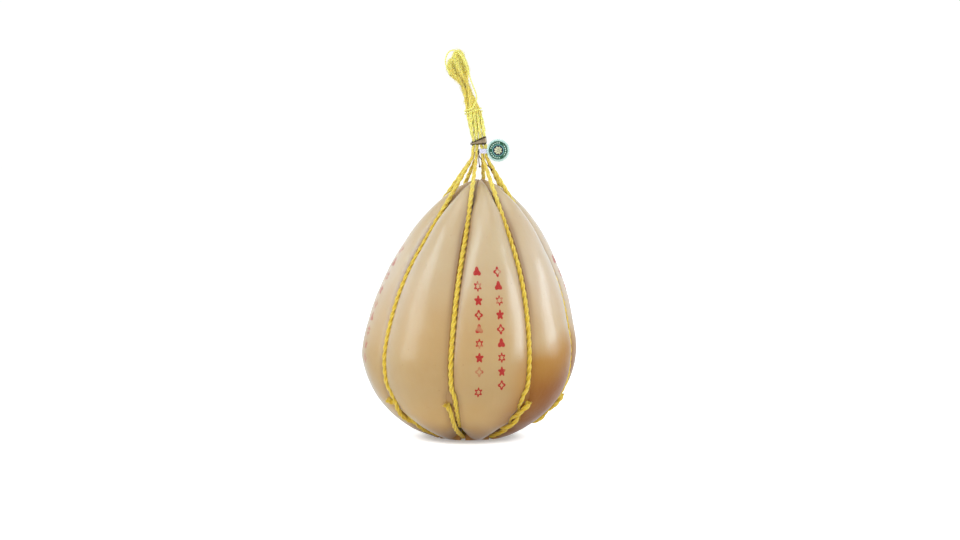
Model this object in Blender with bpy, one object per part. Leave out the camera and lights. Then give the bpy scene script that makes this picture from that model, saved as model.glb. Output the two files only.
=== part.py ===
"""A pear-shaped hung cheese, standing on its foot in a net of four doubled twines.

The twines press eight grooves into the cheese. Each twine starts as a cut tail, turns round a
ring of the same twine under the foot, climbs one groove, passes through a bent metal clip, makes
a loop above it and comes back the same way down another groove. A thin string binds the loops,
and a plastic seal hangs on a strap beside the clip.

The origin is the middle of the flat foot, +Z is up, and the front faces -Y.
"""

import math

import bmesh
import bpy
from mathutils import Vector

MM = 0.001
GAP = 0.3  # between neighbouring pieces; all lengths below are in millimetres

# Cheese: two smooth arcs make the outline that the lobes' crowns follow.
FOOT_R = 37.5
BELLY_R = 108.5
BELLY_Z = 85.2
PEAK_Z = 258.0
FOOT_HANDLE, FOOT_ANGLE = 56.6, math.radians(17.2)
UNDER_BELLY_HANDLE = 22.3
OVER_BELLY_HANDLE = 31.0
PEAK_HANDLE, PEAK_ANGLE = 78.3, math.radians(14.9)
LEAN, LEAN_FROM_Z, LEAN_POWER = 10.0, 80.0, 1.15  # the neck leans towards +X

LOBES = 8
LOBE_STEP = math.tau / LOBES
FIRST_GROOVE = math.radians(-55.0)
LOBE_ROUNDNESS = 0.75
LOWER_RINGS = 11
UPPER_RINGS = 11
LOBE_COLUMNS = (0.1, 0.36, 0.64, 0.9)
CHANNEL_FLOOR, CHANNEL_EDGE = 0.62, 1.15  # sideways, in units of the channel's half width

# How deep the twine's middle lies below the crowns, against height.
TWINE_DEPTH = (
    (0.0, 8.7),
    (16.0, 3.6),
    (40.0, 3.2),
    (86.0, 8.0),
    (150.0, 7.3),
    (212.0, 9.5),
    (238.0, 8.5),
    (258.0, 1.2),
)

# Twines
TWINE_R = 2.5
PAIR_R = 2.3  # each strand where a tail is laid round its leg
PAIR_SPREAD = 3.0  # from the pair's middle to each strand's
PAIR_TURNS, PAIR_STACKED = 1.0, 0.2  # full turns, and the share of the tail that isn't turned yet
PAIR_ROOM = 0.6  # between a laid pair and its channel
TAIL_FLARE = 1.3  # the cut end stands off its leg
PAIR_CLOSED_Z = 14.0  # crown height where the two strands have closed up after the ring
TAIL_TOP_Z = 38.0  # crown heights where the tail stops and where the leg lies in mid-groove again
LEG_FREE_Z, LEG_ALONE_Z = 42.0, 54.0
SAMPLES_PER_RING = 2

# Ring under the foot
RING_R, RING_Z = 27.0, 8.2
TURN_R = TWINE_R + GAP + PAIR_R + 0.25
RECESS_Z = 11.5
RECESS_IN_R, RECESS_OUT_R, PAD_IN_R = 18.0, 30.4, 31.0

# Gather, clip and bundle above the cheese
GATHER_Z = 279.0
NECK_X = 10.0
CLIP_Z, CLIP_H, CLIP_WALL, CLIP_TILT = 294.5, 4.4, 0.9, 0.30
CLIP_STRAND_R, CLIP_PITCH = 1.6, 3.55
CLIP_ROOM = 0.75  # between the outer strands and the band
GROUP_GAP = 6.0  # between the two groups of strands under the clip
ROW_PITCH = 3.6
BUNDLE_STRAND_R, BUNDLE_PITCH = 1.72, 3.95
TWIST_FROM_Z, TWIST_TO_Z = 299.0, 350.0
BEND_FROM_Z, BEND, BEND_H, BEND_POWER = 288.0, 25.0, 88.0, 1.56
LOOP_OPEN_Z, LOOP_R, LOOP_STRAND_R, LOOP_ROW_PITCH = 352.0, 3.4, 2.0, 4.5
LOOP_TOPS = (376.0, 381.0, 373.0, 379.0)
LOOP_SHIFTS = (-3.5, 5.2, -5.6, 2.2)

# String
STRING_R = 0.8
STRING_LOW_Z, STRING_RISE = 322.0, 5.6
STRING_TURNS = 2
# The slack loop over the bundle's top: height of the bundle's middle, across it, and depth
SLACK_LOOP = (
    (336.0, 8.6, -6.6),
    (347.0, 9.5, -8.5),
    (358.0, 11.0, -10.5),
    (368.0, 11.5, -11.2),
    (376.0, 10.0, -11.4),
    (382.5, 5.0, -11.4),
    (384.0, -1.0, -11.4),
    (381.0, -7.0, -11.4),
    (374.0, -10.5, -11.3),
    (366.0, -11.0, -10.8),
)

# Seal
STRAP_Z, STRAP_H, STRAP_WALL = 284.8, 4.6, 1.0
SEAL_X, SEAL_Y, SEAL_Z = 28.5, -6.5, 285.5
SEAL_R, SEAL_THICK, SEAL_TEETH = 11.5, 2.2, 24
BADGE_R, BADGE_THICK = 9.0, 0.7

# Wire ends hanging between the strands below the clip: points from the neck's middle, and height
PRONG_R, PRONG_TIP_R = 0.45, 1.1
PRONGS = {
    "prong_left": (
        (-0.65, 0.6, 287.0),
        (-0.65, -0.6, 280.0),
        (-0.6, -4.6, 274.0),
        (0.2, -7.4, 270.0),
        (0.5, -8.2, 268.0),
    ),
    "prong_right": (
        (-0.65, 2.2, 287.0),
        (-0.65, 1.6, 280.5),
        (3.4, -0.6, 275.0),
        (10.0, -4.2, 268.5),
        (12.6, -5.2, 265.0),
    ),
}


def smooth(low, high, value):
    """Rises from 0 to 1 between low and high, with level ends."""
    share = min(1.0, max(0.0, (value - low) / (high - low)))
    return share * share * (3.0 - 2.0 * share)


def through(pairs, value):
    """Eased reading of value between (place, amount) pairs."""
    for (low, first), (high, last) in zip(pairs, pairs[1:]):
        if value <= high:
            return first + (last - first) * smooth(low, high, value)
    return pairs[-1][1]


def arc_point(ends, share):
    """A point and its direction on a cubic arc given by its four (r, z) handles."""
    rest = 1.0 - share
    weights = (rest**3, 3 * rest**2 * share, 3 * rest * share**2, share**3)
    slopes = (-3 * rest**2, 3 * rest * (rest - 2 * share), 3 * share * (2 * rest - share), 3 * share**2)
    point = [sum(w * end[i] for w, end in zip(weights, ends)) for i in (0, 1)]
    slope = [sum(w * end[i] for w, end in zip(slopes, ends)) for i in (0, 1)]
    return point, slope


LOWER_ARC = (
    (FOOT_R, 0.0),
    (FOOT_R + FOOT_HANDLE * math.cos(FOOT_ANGLE), FOOT_HANDLE * math.sin(FOOT_ANGLE)),
    (BELLY_R, BELLY_Z - UNDER_BELLY_HANDLE),
    (BELLY_R, BELLY_Z),
)
UPPER_ARC = (
    (BELLY_R, BELLY_Z),
    (BELLY_R, BELLY_Z + OVER_BELLY_HANDLE),
    (PEAK_HANDLE * math.cos(PEAK_ANGLE), PEAK_Z - PEAK_HANDLE * math.sin(PEAK_ANGLE)),
    (0.0, PEAK_Z),
)


def crown(station):
    """Radius, height and outward normal (r, z) on the crowns; station runs 0..2, foot to peak."""
    arc, share = (LOWER_ARC, station) if station <= 1.0 else (UPPER_ARC, station - 1.0)
    (radius, height), (run, rise) = arc_point(arc, share)
    length = math.hypot(run, rise)
    return radius, height, rise / length, -run / length


def in_space(radius, angle, height, sideways=0.0):
    """Polar place about the leaning axis as a point; angle 0 is the front, sideways is across it."""
    lean = LEAN * max(0.0, (height - LEAN_FROM_Z) / (PEAK_Z - LEAN_FROM_Z)) ** LEAN_POWER
    x = radius * math.sin(angle) + sideways * math.cos(angle) + lean
    y = -radius * math.cos(angle) + sideways * math.sin(angle)
    return Vector((x, y, height))


def pair_spread(height):
    """From the pair's middle to each strand's, at a crown height: wide near the ring."""
    return TURN_R + (PAIR_SPREAD - TURN_R) * smooth(0.0, PAIR_CLOSED_Z, height)


def channel_half_width(height):
    """Half the channel's width: wide for a laid pair near the foot, narrow for one twine above."""
    pair = pair_spread(height) + PAIR_R + PAIR_ROOM
    single = TWINE_R + GAP
    narrow = pair + (single - pair) * smooth(LEG_FREE_Z + 3.0, LEG_ALONE_Z + 3.0, height)
    return narrow * (1.0 - 0.6 * smooth(248.0, PEAK_Z, height))


def finish(name, bm, finish_material):
    """Turns a bmesh into a named object, faces outward and round parts shaded smooth."""
    bmesh.ops.recalc_face_normals(bm, faces=bm.faces)
    mesh = bpy.data.meshes.new(name)
    bm.to_mesh(mesh)
    bm.free()
    mesh.materials.append(finish_material)
    mesh.shade_smooth()
    mesh.set_sharp_from_angle(angle=math.radians(40.0))
    item = bpy.data.objects.new(name, mesh)
    bpy.context.scene.collection.objects.link(item)
    return item


def material(name, colour, roughness, metallic=0.0):
    """A plain Principled material."""
    made = bpy.data.materials.new(name)
    made.use_nodes = True
    shader = made.node_tree.nodes["Principled BSDF"]
    shader.inputs["Base Color"].default_value = (*colour, 1.0)
    shader.inputs["Roughness"].default_value = roughness
    shader.inputs["Metallic"].default_value = metallic
    return made


def round_bar(name, points, radii, finish_material, closed=False):
    """A round bar along points (mm), with a radius (mm) at each."""
    curve = bpy.data.curves.new(name, "CURVE")
    curve.dimensions = "3D"
    curve.bevel_depth = MM
    curve.bevel_resolution = 1
    curve.resolution_u = 1
    curve.use_fill_caps = not closed
    spline = curve.splines.new("POLY")
    spline.points.add(len(points) - 1)
    spline.use_cyclic_u = closed
    for knot, point, radius in zip(spline.points, points, radii):
        knot.co = (*(Vector(point) * MM), 1.0)
        knot.radius = radius
    curve.materials.append(finish_material)
    item = bpy.data.objects.new(name, curve)
    bpy.context.scene.collection.objects.link(item)
    return item


# ---------------------------------------------------------------- cheese


def ring_places():
    """The foot's rings, each as its (lobe, channel) places, and the stations of those above."""
    roof = RING_Z + TURN_R + PAIR_R + GAP
    foot = [
        ((RECESS_IN_R, 0.0), (RECESS_IN_R, 0.0)),
        ((RECESS_IN_R + 0.6, RECESS_Z), (RECESS_IN_R + 0.6, roof)),
        ((RECESS_OUT_R, RECESS_Z), (RECESS_OUT_R, roof)),
        ((PAD_IN_R, 0.0), (PAD_IN_R + 0.6, roof)),
    ]
    lower = [k / LOWER_RINGS for k in range(LOWER_RINGS)]
    upper = [1.0 + k / UPPER_RINGS for k in range(UPPER_RINGS)] + [2.0 - 0.25 / UPPER_RINGS]
    return foot, lower + upper


def column_angle(column, radius, half_width):
    """Angle from the channel's middle to one of the columns of a lobe and its channel."""
    reach = min(0.95, CHANNEL_EDGE * half_width / max(radius, 0.01))
    edge = min(math.asin(reach), 0.44 * LOBE_STEP)
    floor = edge * CHANNEL_FLOOR / CHANNEL_EDGE
    lobes = [edge + share * (LOBE_STEP - 2 * edge) for share in LOBE_COLUMNS]
    return ([-edge, -floor, floor, edge] + lobes)[column]


def cheese_point(groove, column, ring, foot, stations):
    """One vertex of the cheese."""
    in_channel = column in (1, 2)
    angle = FIRST_GROOVE + groove * LOBE_STEP
    if ring < len(foot):
        radius, height = foot[ring][1 if in_channel else 0]
        angle += column_angle(column, radius, channel_half_width(0.0))
        return in_space(radius, angle, height)
    radius, height, out_r, out_z = crown(stations[ring - len(foot)])
    half_width = channel_half_width(height)
    middle = through(TWINE_DEPTH, height)
    if in_channel:
        depth = middle + half_width
    elif column in (0, 3):
        depth = middle
    else:
        share = LOBE_COLUMNS[column - 4]
        depth = middle * (1.0 - math.sin(math.pi * share) ** LOBE_ROUNDNESS)
    if ring == len(foot) and not in_channel:
        depth = 0.0
    radius -= depth * out_r
    height -= depth * out_z
    angle += column_angle(column, radius, half_width)
    return in_space(radius, angle, height)


def make_cheese(rind):
    """The lobed body: a grid wrapped round the leaning axis, with a flat foot and a small peak."""
    foot, stations = ring_places()
    rings = len(foot) + len(stations)
    per_lobe = 4 + len(LOBE_COLUMNS)
    bm = bmesh.new()
    loops = []
    for ring in range(rings):
        loop = []
        for groove in range(LOBES):
            for column in range(per_lobe):
                place = cheese_point(groove, column, ring, foot, stations)
                loop.append(bm.verts.new(place * MM))
        loops.append(loop)
    around = LOBES * per_lobe
    for low, high in zip(loops, loops[1:]):
        for k in range(around):
            after = (k + 1) % around
            bm.faces.new((low[k], low[after], high[after], high[k]))
    bm.faces.new(list(reversed(loops[0])))
    bm.faces.new(loops[-1])
    return finish("cheese", bm, rind)


# ---------------------------------------------------------------- twines


def groove_axis(station):
    """Radius and height of the twine's middle in its groove, the normal there, the crown's height."""
    radius, height, out_r, out_z = crown(station)
    depth = through(TWINE_DEPTH, height)
    return radius - depth * out_r, height - depth * out_z, out_r, out_z, height


def leave_station(gather_radius):
    """Station at which a taut twine leaves its groove for the gather."""
    tries = [1.2 + 0.7 * k / 400 for k in range(400)]
    places = [(groove_axis(station)[:2], station) for station in tries]
    return max(places, key=lambda p: (p[0][0] - gather_radius) / (GATHER_Z - p[0][1]))[1]


def pair_sides(share, end_side):
    """Direction (outward, sideways) of the tail from the pair's middle, turning as it climbs."""
    turned = max(0.0, (share - PAIR_STACKED) / (1.0 - PAIR_STACKED))
    angle = (PAIR_TURNS * math.tau + end_side * math.pi / 2) * turned
    return math.cos(angle), math.sin(angle)


def lower_strands(groove, end_side):
    """Points and radii of a leg up to its gather and of the tail laid round it, from the ring."""
    angle = FIRST_GROOVE + groove * LOBE_STEP
    leg, tail = [], []
    for k in range(4):
        turn = math.pi * (k + 0.5) / 4 * 0.5
        inward = TURN_R * math.cos(turn)
        leg.append((in_space(RING_R - inward, angle, RING_Z + TURN_R * math.sin(turn)), PAIR_R))
        tail.append((in_space(RING_R - inward, angle, RING_Z - TURN_R * math.sin(turn)), PAIR_R))
    fine = LOWER_RINGS * SAMPLES_PER_RING
    laid = [k for k in range(fine) if crown(k / fine)[1] < TAIL_TOP_Z]
    for index in range(fine):
        radius, height, out_r, out_z, level = groove_axis(index / fine)
        between_rings = index % SAMPLES_PER_RING
        if between_rings and level > LEG_ALONE_Z:
            continue
        spread = pair_spread(level)
        if between_rings:
            before, after = groove_axis((index - 1) / fine), groove_axis((index + 1) / fine)
            radius, height = ((before[i] + after[i]) / 2 for i in (0, 1))
            spread = min(spread, (pair_spread(before[4]) + pair_spread(after[4])) / 2)
        outward, sideways = pair_sides(min(1.0, index / (len(laid) - 1)), end_side)
        alone = smooth(LEG_FREE_Z, LEG_ALONE_Z, level)
        thick = PAIR_R + (TWINE_R - PAIR_R) * alone
        for strand, sign in ((leg, -1.0), (tail, 1.0)):
            flare = TAIL_FLARE if strand is tail and index == laid[-1] else 0.0
            reach = sign * (spread * (1.0 - alone) + flare)
            outer_r, outer_z = radius + reach * outward * out_r, height + reach * outward * out_z
            if strand is leg or index in laid:
                strand.append((in_space(outer_r, angle, outer_z, reach * sideways), thick))
    return leg, tail


def upper_leg(groove, gather):
    """Points and radii from the belly to the gather, in the groove and then straight through air."""
    angle = FIRST_GROOVE + groove * LOBE_STEP
    reach = (gather.x - NECK_X) * math.sin(angle) - gather.y * math.cos(angle)
    leave = leave_station(reach)
    stations = [1.0 + k / UPPER_RINGS for k in range(UPPER_RINGS)]
    places = [in_space(groove_axis(s)[0], angle, groove_axis(s)[1]) for s in stations if s < leave]
    places.append(in_space(groove_axis(leave)[0], angle, groove_axis(leave)[1]))
    places.append(places[-1].lerp(gather, 0.5))
    places.append(places[-2].lerp(gather, 0.9))
    radii = [TWINE_R] * (len(places) - 2) + [2.3, 1.85]
    return list(zip(places, radii))


# Where each groove's strand stands in the clip: (column 0..3 from -X, row 0 front or 1 back).
CLIP_PLACES = ((0, 0), (1, 0), (2, 0), (3, 0), (3, 1), (2, 1), (1, 1), (0, 1))
# Side on which each tail's cut end shows, -1 towards lower and 1 towards higher angles.
END_SIDES = (-1, -1, 1, 1, -1, 1, -1, 1)


def bundle_middle(height):
    """The middle of the bundle above the gather."""
    bend = BEND * max(0.0, (height - BEND_FROM_Z) / BEND_H) ** BEND_POWER
    return Vector((NECK_X - bend, 0.0, height))


def bundle_point(height, across, depth):
    """A point of the bundle's cross-section at a height of its middle."""
    along = (bundle_middle(height + 0.5) - bundle_middle(height - 0.5)).normalized()
    side = Vector((0.0, 1.0, 0.0)).cross(along).normalized()
    return bundle_middle(height) + side * across + Vector((0.0, depth, 0.0))


def twisted(across, depth, height):
    """Turns a place in the 4 by 2 pattern with the bundle's quarter twist."""
    angle = math.pi / 2 * smooth(TWIST_FROM_Z, TWIST_TO_Z, height)
    turned = across * math.cos(angle) - depth * math.sin(angle)
    return turned, across * math.sin(angle) + depth * math.cos(angle)


def strand_above(column, row):
    """Points and radii of one strand from the gather to the start of its loop."""
    step, side = column - 1.5, row - 0.5
    apart = (GROUP_GAP - ROW_PITCH) / 2 * math.copysign(1.0, step)
    points = []
    for height in (GATHER_Z, 283.5, 287.0):
        place = Vector((NECK_X + step * ROW_PITCH + apart, side * ROW_PITCH, height))
        points.append((place, CLIP_STRAND_R + 0.08))
    for height in (290.8, 297.5):
        place = bundle_point(height, step * CLIP_PITCH, side * CLIP_PITCH)
        points.append((place, CLIP_STRAND_R))
    for height in (304.0, 313.5, 323.0, 332.5, 342.0, LOOP_OPEN_Z):
        place = bundle_point(height, *twisted(step * BUNDLE_PITCH, side * BUNDLE_PITCH, height))
        points.append((place, BUNDLE_STRAND_R))
    return points


def loop_over(column):
    """Points and radii of the loop that joins a front strand to the one behind it."""
    top, shift = LOOP_TOPS[column], LOOP_SHIFTS[column]
    depth = (column - 1.5) * LOOP_ROW_PITCH
    sides = []
    for sign in (1.0, -1.0):
        side = []
        for height in (360.0, top - LOOP_R - 2.0):
            opened = smooth(LOOP_OPEN_Z, 366.0, height)
            across = shift * opened + sign * (BUNDLE_PITCH / 2 + (LOOP_R - BUNDLE_PITCH / 2) * opened)
            side.append((bundle_point(height, across, depth), LOOP_STRAND_R))
        sides.append(side)
    turn = []
    for k in range(5):
        angle = math.pi * k / 4
        height = top - LOOP_R + LOOP_R * math.sin(angle)
        turn.append((bundle_point(height, shift + LOOP_R * math.cos(angle), depth), LOOP_STRAND_R))
    return sides[0] + turn + list(reversed(sides[1]))


def half_twine(groove):
    """One half of a twine, from the cut tail, round the ring and up to the loop above the clip."""
    leg, tail = lower_strands(groove, END_SIDES[groove])
    above = strand_above(*CLIP_PLACES[groove])
    climb = upper_leg(groove, above[0][0])
    return list(reversed(tail)) + leg + climb + above


def make_twine(column, twine):
    """A whole twine: two legs with their tails, joined by the loop above the clip."""
    front = next(g for g, place in enumerate(CLIP_PLACES) if place == (column, 0))
    back = next(g for g, place in enumerate(CLIP_PLACES) if place == (column, 1))
    # A front strand turns to the far side of the quarter twist, so its loop starts there.
    path = half_twine(front) + loop_over(column) + list(reversed(half_twine(back)))
    points, radii = zip(*path)
    return round_bar(f"twine_{column + 1}", points, radii, twine)


def make_ring(twine):
    """The ring of twine under the foot, which every twine turns round."""
    count = 20
    points = [in_space(RING_R, math.tau * k / count, RING_Z) for k in range(count)]
    return round_bar("foot_ring", points, [TWINE_R] * count, twine, closed=True)


# ---------------------------------------------------------------- clip, string, seal


def outline(half_x, half_y, corner_r, turn):
    """Point on a box outline with round corners; turn counts corner arcs, from the front right."""
    corner, share = int(turn // 1) % 4, turn % 1
    sign_x, sign_y = ((1, -1), (1, 1), (-1, 1), (-1, -1))[corner]
    angle = math.pi / 2 * (corner - 1 + share)
    return sign_x * half_x + corner_r * math.cos(angle), sign_y * half_y + corner_r * math.sin(angle)


def turns_in(corners, per_corner=3):
    """Turn counts that put per_corner points on each corner's arc."""
    return [corner + k / (per_corner - 0.999) for corner in range(corners) for k in range(per_corner)]


def band_mesh(sections, closed):
    """A flat band through four-cornered sections (mm)."""
    bm = bmesh.new()
    rows = [[bm.verts.new(Vector(corner) * MM) for corner in section] for section in sections]
    pairs = list(zip(rows, rows[1:])) + ([(rows[-1], rows[0])] if closed else [])
    for first, second in pairs:
        for k in range(4):
            after = (k + 1) % 4
            bm.faces.new((first[k], first[after], second[after], second[k]))
    if not closed:
        bm.faces.new(list(reversed(rows[0])))
        bm.faces.new(rows[-1])
    return bm


def make_clip(metal):
    """A flat metal band bent round the strands, its end lapped over its start at the front."""
    half = 1.5 * CLIP_PITCH, 0.5 * CLIP_PITCH
    turns = turns_in(5)
    sections = []
    for turn in turns:
        lap = (CLIP_WALL + GAP) * smooth(3.0, 3.9, turn)
        section = []
        for wall, rise in ((0, -0.5), (1, -0.5), (1, 0.5), (0, 0.5)):
            corner_r = CLIP_STRAND_R + CLIP_ROOM + lap + wall * CLIP_WALL
            across, depth = outline(*half, corner_r, turn)
            height = CLIP_Z + CLIP_TILT * across + rise * CLIP_H
            section.append(bundle_middle(height) + Vector((across, depth, 0.0)))
        sections.append(section)
    return finish("clip", band_mesh(sections, closed=False), metal)


def make_prongs(metal):
    """The clip's two wire ends, which hang between the strands and show below the gather."""
    for name, route in PRONGS.items():
        points = [Vector((NECK_X + x, y, z)) for x, y, z in route]
        round_bar(name, points, [PRONG_R] * (len(route) - 1) + [PRONG_TIP_R], metal)


def make_string(string):
    """The thin binding: turns round the bundle, then a slack loop over its top."""
    half = 1.5 * BUNDLE_PITCH, 0.5 * BUNDLE_PITCH
    corner_r = BUNDLE_STRAND_R + GAP + STRING_R + 0.2
    turns = turns_in(4 * STRING_TURNS)
    points = []
    for turn in turns:
        height = STRING_LOW_Z + STRING_RISE * turn / turns[-1]
        points.append(bundle_point(height, *twisted(*outline(*half, corner_r, turn), height)))
    points += [bundle_point(*place) for place in SLACK_LOOP]
    return round_bar("string", points, [STRING_R] * len(points), string)


def make_strap(plastic):
    """The seal's strap: a closed band round the right-hand strands with a tongue to the seal."""
    half = ROW_PITCH / 2
    inner_r = CLIP_STRAND_R + 0.1 + GAP
    middle_x = NECK_X + GROUP_GAP / 2 + half
    sections = []
    for turn in turns_in(4):
        section = []
        for wall, rise in ((0, -0.5), (1, -0.5), (1, 0.5), (0, 0.5)):
            x, y = outline(half, half, inner_r + wall * STRAP_WALL, turn)
            section.append((middle_x + x, y, STRAP_Z + rise * STRAP_H))
        sections.append(section)
    band = finish("strap", band_mesh(sections, closed=True), plastic)
    bm = bmesh.new()
    bmesh.ops.create_cube(bm, size=1.0)
    near_x, far_x = middle_x + half + inner_r + STRAP_WALL / 2, SEAL_X - SEAL_R * 0.45
    back_y = SEAL_Y + SEAL_THICK / 2 + GAP + STRAP_WALL / 2
    for vert in bm.verts:
        far = vert.co.x > 0
        x = far_x if far else near_x
        y = (back_y if far else -half) + vert.co.y * STRAP_WALL
        z = STRAP_Z + vert.co.z * STRAP_H * (1.2 if far else 0.8)
        vert.co = Vector((x, y, z)) * MM
    tongue = finish("strap_tongue", bm, plastic)
    tongue.hide_render = True
    tongue.display_type = "WIRE"
    join = band.modifiers.new("tongue", "BOOLEAN")
    join.operation = "UNION"
    join.solver = "EXACT"
    join.object = tongue
    return band


def disc(name, radius, thick, front_y, count, finish_material, notch=0.0):
    """A disc facing -Y about the seal's middle, its rim notched if asked."""
    bm = bmesh.new()
    bmesh.ops.create_circle(bm, cap_ends=True, segments=count, radius=radius)
    for index, vert in enumerate(sorted(bm.verts, key=lambda v: math.atan2(v.co.y, v.co.x))):
        if notch and index % 2:
            vert.co *= 1.0 - notch / radius
    for vert in bm.verts:
        vert.co = Vector((SEAL_X + vert.co.x, front_y, SEAL_Z + vert.co.y)) * MM
    grown = bmesh.ops.extrude_face_region(bm, geom=list(bm.faces))
    moved = [item for item in grown["geom"] if isinstance(item, bmesh.types.BMVert)]
    bmesh.ops.translate(bm, verts=moved, vec=(0.0, thick * MM, 0.0))
    return finish(name, bm, finish_material)


def make_seal(plastic, print_material):
    """The notched disc and the printed badge on its front."""
    front = SEAL_Y - SEAL_THICK / 2
    disc("seal", SEAL_R, SEAL_THICK, front, 2 * SEAL_TEETH, plastic, notch=0.5)
    disc("badge", BADGE_R, BADGE_THICK, front - GAP - BADGE_THICK, 36, print_material)


def main():
    for item in list(bpy.data.objects):
        bpy.data.objects.remove(item, do_unlink=True)
    rind = material("rind", (0.72, 0.55, 0.33), 0.35)
    twine = material("twine", (0.72, 0.52, 0.08), 0.7)
    string = material("string", (0.78, 0.68, 0.25), 0.7)
    metal = material("clip_metal", (0.28, 0.22, 0.14), 0.4, 1.0)
    plastic = material("seal_plastic", (0.66, 0.80, 0.74), 0.35)
    print_material = material("badge_print", (0.04, 0.22, 0.17), 0.4)
    strap = material("strap_plastic", (0.72, 0.68, 0.76), 0.4)
    make_cheese(rind)
    make_ring(twine)
    for column in range(4):
        make_twine(column, twine)
    make_clip(metal)
    make_prongs(metal)
    make_string(string)
    make_strap(strap)
    make_seal(plastic, print_material)


main()
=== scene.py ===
"""A pear-shaped hung cheese in its net of yellow twine, in a plain studio.

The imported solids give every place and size. The pieces here follow the same curves and routes
with a finer step: the rind takes the imprint of the twine, the twine gets its plies and loose
fibres, and the clip, strap and seal get their folds, rims and print. Lengths are in millimetres
until a mesh is finished. +Z is up and the front faces -Y.
"""

import logging
import math
import random
from collections.abc import Callable, Sequence
from dataclasses import dataclass
from enum import Enum
from functools import cached_property

import bmesh
import bpy
from mathutils import Matrix, Vector, noise


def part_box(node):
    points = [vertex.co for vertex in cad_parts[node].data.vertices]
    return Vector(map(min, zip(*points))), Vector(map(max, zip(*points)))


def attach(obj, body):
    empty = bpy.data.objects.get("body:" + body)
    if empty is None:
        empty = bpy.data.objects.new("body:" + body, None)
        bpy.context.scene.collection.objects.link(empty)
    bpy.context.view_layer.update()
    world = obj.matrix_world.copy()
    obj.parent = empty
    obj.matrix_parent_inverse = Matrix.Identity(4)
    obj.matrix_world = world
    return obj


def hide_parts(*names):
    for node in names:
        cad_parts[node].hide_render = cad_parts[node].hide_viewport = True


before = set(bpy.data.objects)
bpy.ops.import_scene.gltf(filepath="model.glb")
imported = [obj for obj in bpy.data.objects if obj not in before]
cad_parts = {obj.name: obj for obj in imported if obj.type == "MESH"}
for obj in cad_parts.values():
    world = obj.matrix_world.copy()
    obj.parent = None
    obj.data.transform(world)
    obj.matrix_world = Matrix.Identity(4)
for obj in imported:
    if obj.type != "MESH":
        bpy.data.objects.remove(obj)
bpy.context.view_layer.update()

MM = 0.001
WELD = 1e-4  # points nearer than this, in millimetres, become one
LOG = logging.getLogger("cheese")

Mesh = bmesh.types.BMesh
Material = bpy.types.Material
Socket = bpy.types.NodeSocket
Tree = bpy.types.NodeTree
Colour = tuple[float, float, float]
Knot = tuple[Vector, float]
Place = Callable[[int, int], Vector]


# ---------------------------------------------------------------- small tools


def eased(low: float, high: float, value: float) -> float:
    """Rises from 0 to 1 between low and high, with level ends."""
    share = min(1.0, max(0.0, (value - low) / (high - low)))
    return share * share * (3.0 - 2.0 * share)


def through(pairs: Sequence[tuple[float, float]], value: float) -> float:
    """Eased reading between (place, amount) pairs.

    Args:
        pairs: Places in rising order, each with its amount.
        value: The place to read at.

    Returns:
        The amount there.
    """
    for (low, first), (high, last) in zip(pairs, pairs[1:]):
        if value <= high:
            return first + (last - first) * eased(low, high, value)
    return pairs[-1][1]


def paint(red: int, green: int, blue: int) -> Colour:
    """A colour as the shader wants it, from screen levels of 0 to 255."""
    levels = (level / 255.0 for level in (red, green, blue))
    return tuple(v / 12.92 if v <= 0.04045 else ((v + 0.055) / 1.055) ** 2.4 for v in levels)


def rolled_grid(bm: Mesh, columns: int, rows: int, place: Place, group: int = 0) -> list:
    """Rolls a flat grid into a tube, or into many, with the columns running round.

    Args:
        bm: The mesh to add to.
        columns: Cells round the tube.
        rows: Rings along it.
        place: Gives the point of a column and a row.
        group: Rings in each separate tube, or 0 where all of them make one.

    Returns:
        The new faces, in reading order.
    """
    before = set(bm.faces)
    made = bmesh.ops.create_grid(bm, x_segments=columns, y_segments=rows - 1, size=1.0, calc_uvs=True)
    for index, vert in enumerate(made["verts"]):
        row, column = divmod(index, columns + 1)
        vert.co = place(column % columns, row)
    faces = [face for face in bm.faces if face not in before]
    if not group:
        return faces
    between = [f for k, f in enumerate(faces) if (k // columns + 1) % group == 0]
    kept = [f for k, f in enumerate(faces) if (k // columns + 1) % group]
    bmesh.ops.delete(bm, geom=between, context="FACES")
    return kept


def blank() -> Mesh:
    """An empty mesh with room for a map."""
    bm = bmesh.new()
    bm.loops.layers.uv.verify()
    return bm


def rounded(bm: Mesh, edges: list, width: float, steps: int) -> None:
    """Rounds edges off.

    Args:
        bm: The mesh.
        edges: The edges.
        width: How far from an edge the rounding starts.
        steps: Faces across the rounding.
    """
    bmesh.ops.bevel(
        bm, geom=edges, offset=width, segments=steps, profile=0.5, affect="EDGES", material=-1
    )


def finished(name: str, bm: Mesh, material: Material, sharp: float = 50.0) -> bpy.types.Object:
    """Closes seams, points faces outwards and turns millimetres into a named object in metres.

    Args:
        name: The piece's name.
        bm: The mesh in millimetres, which is used up.
        material: Its finish.
        sharp: Edges that turn by more than this, in degrees, are shaded sharp.

    Returns:
        The object, at the origin.
    """
    bmesh.ops.remove_doubles(bm, verts=bm.verts, dist=WELD)
    bmesh.ops.recalc_face_normals(bm, faces=bm.faces)
    bmesh.ops.scale(bm, vec=(MM, MM, MM), verts=bm.verts)
    mesh = bpy.data.meshes.new(name)
    bm.to_mesh(mesh)
    bm.free()
    mesh.materials.append(material)
    mesh.shade_smooth()
    mesh.set_sharp_from_angle(angle=math.radians(sharp))
    item = bpy.data.objects.new(name, mesh)
    bpy.context.scene.collection.objects.link(item)
    return item


def settle(item: bpy.types.Object, slot: str, *nodes: str) -> None:
    """Rides a piece on the one body, hides the solids it stands for, and logs its triangles, its slot and
    those solids.

    Args:
        item: The piece.
        slot: Its material slot.
        *nodes: The solids, or none.
    """
    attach(item, "root")
    if nodes:
        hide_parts(*nodes)
    faces = sum(len(face.vertices) - 2 for face in item.data.polygons)
    LOG.info("%s: %d triangles, slot %s, for %s", item.name, faces, slot, nodes or "no solid")


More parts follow.
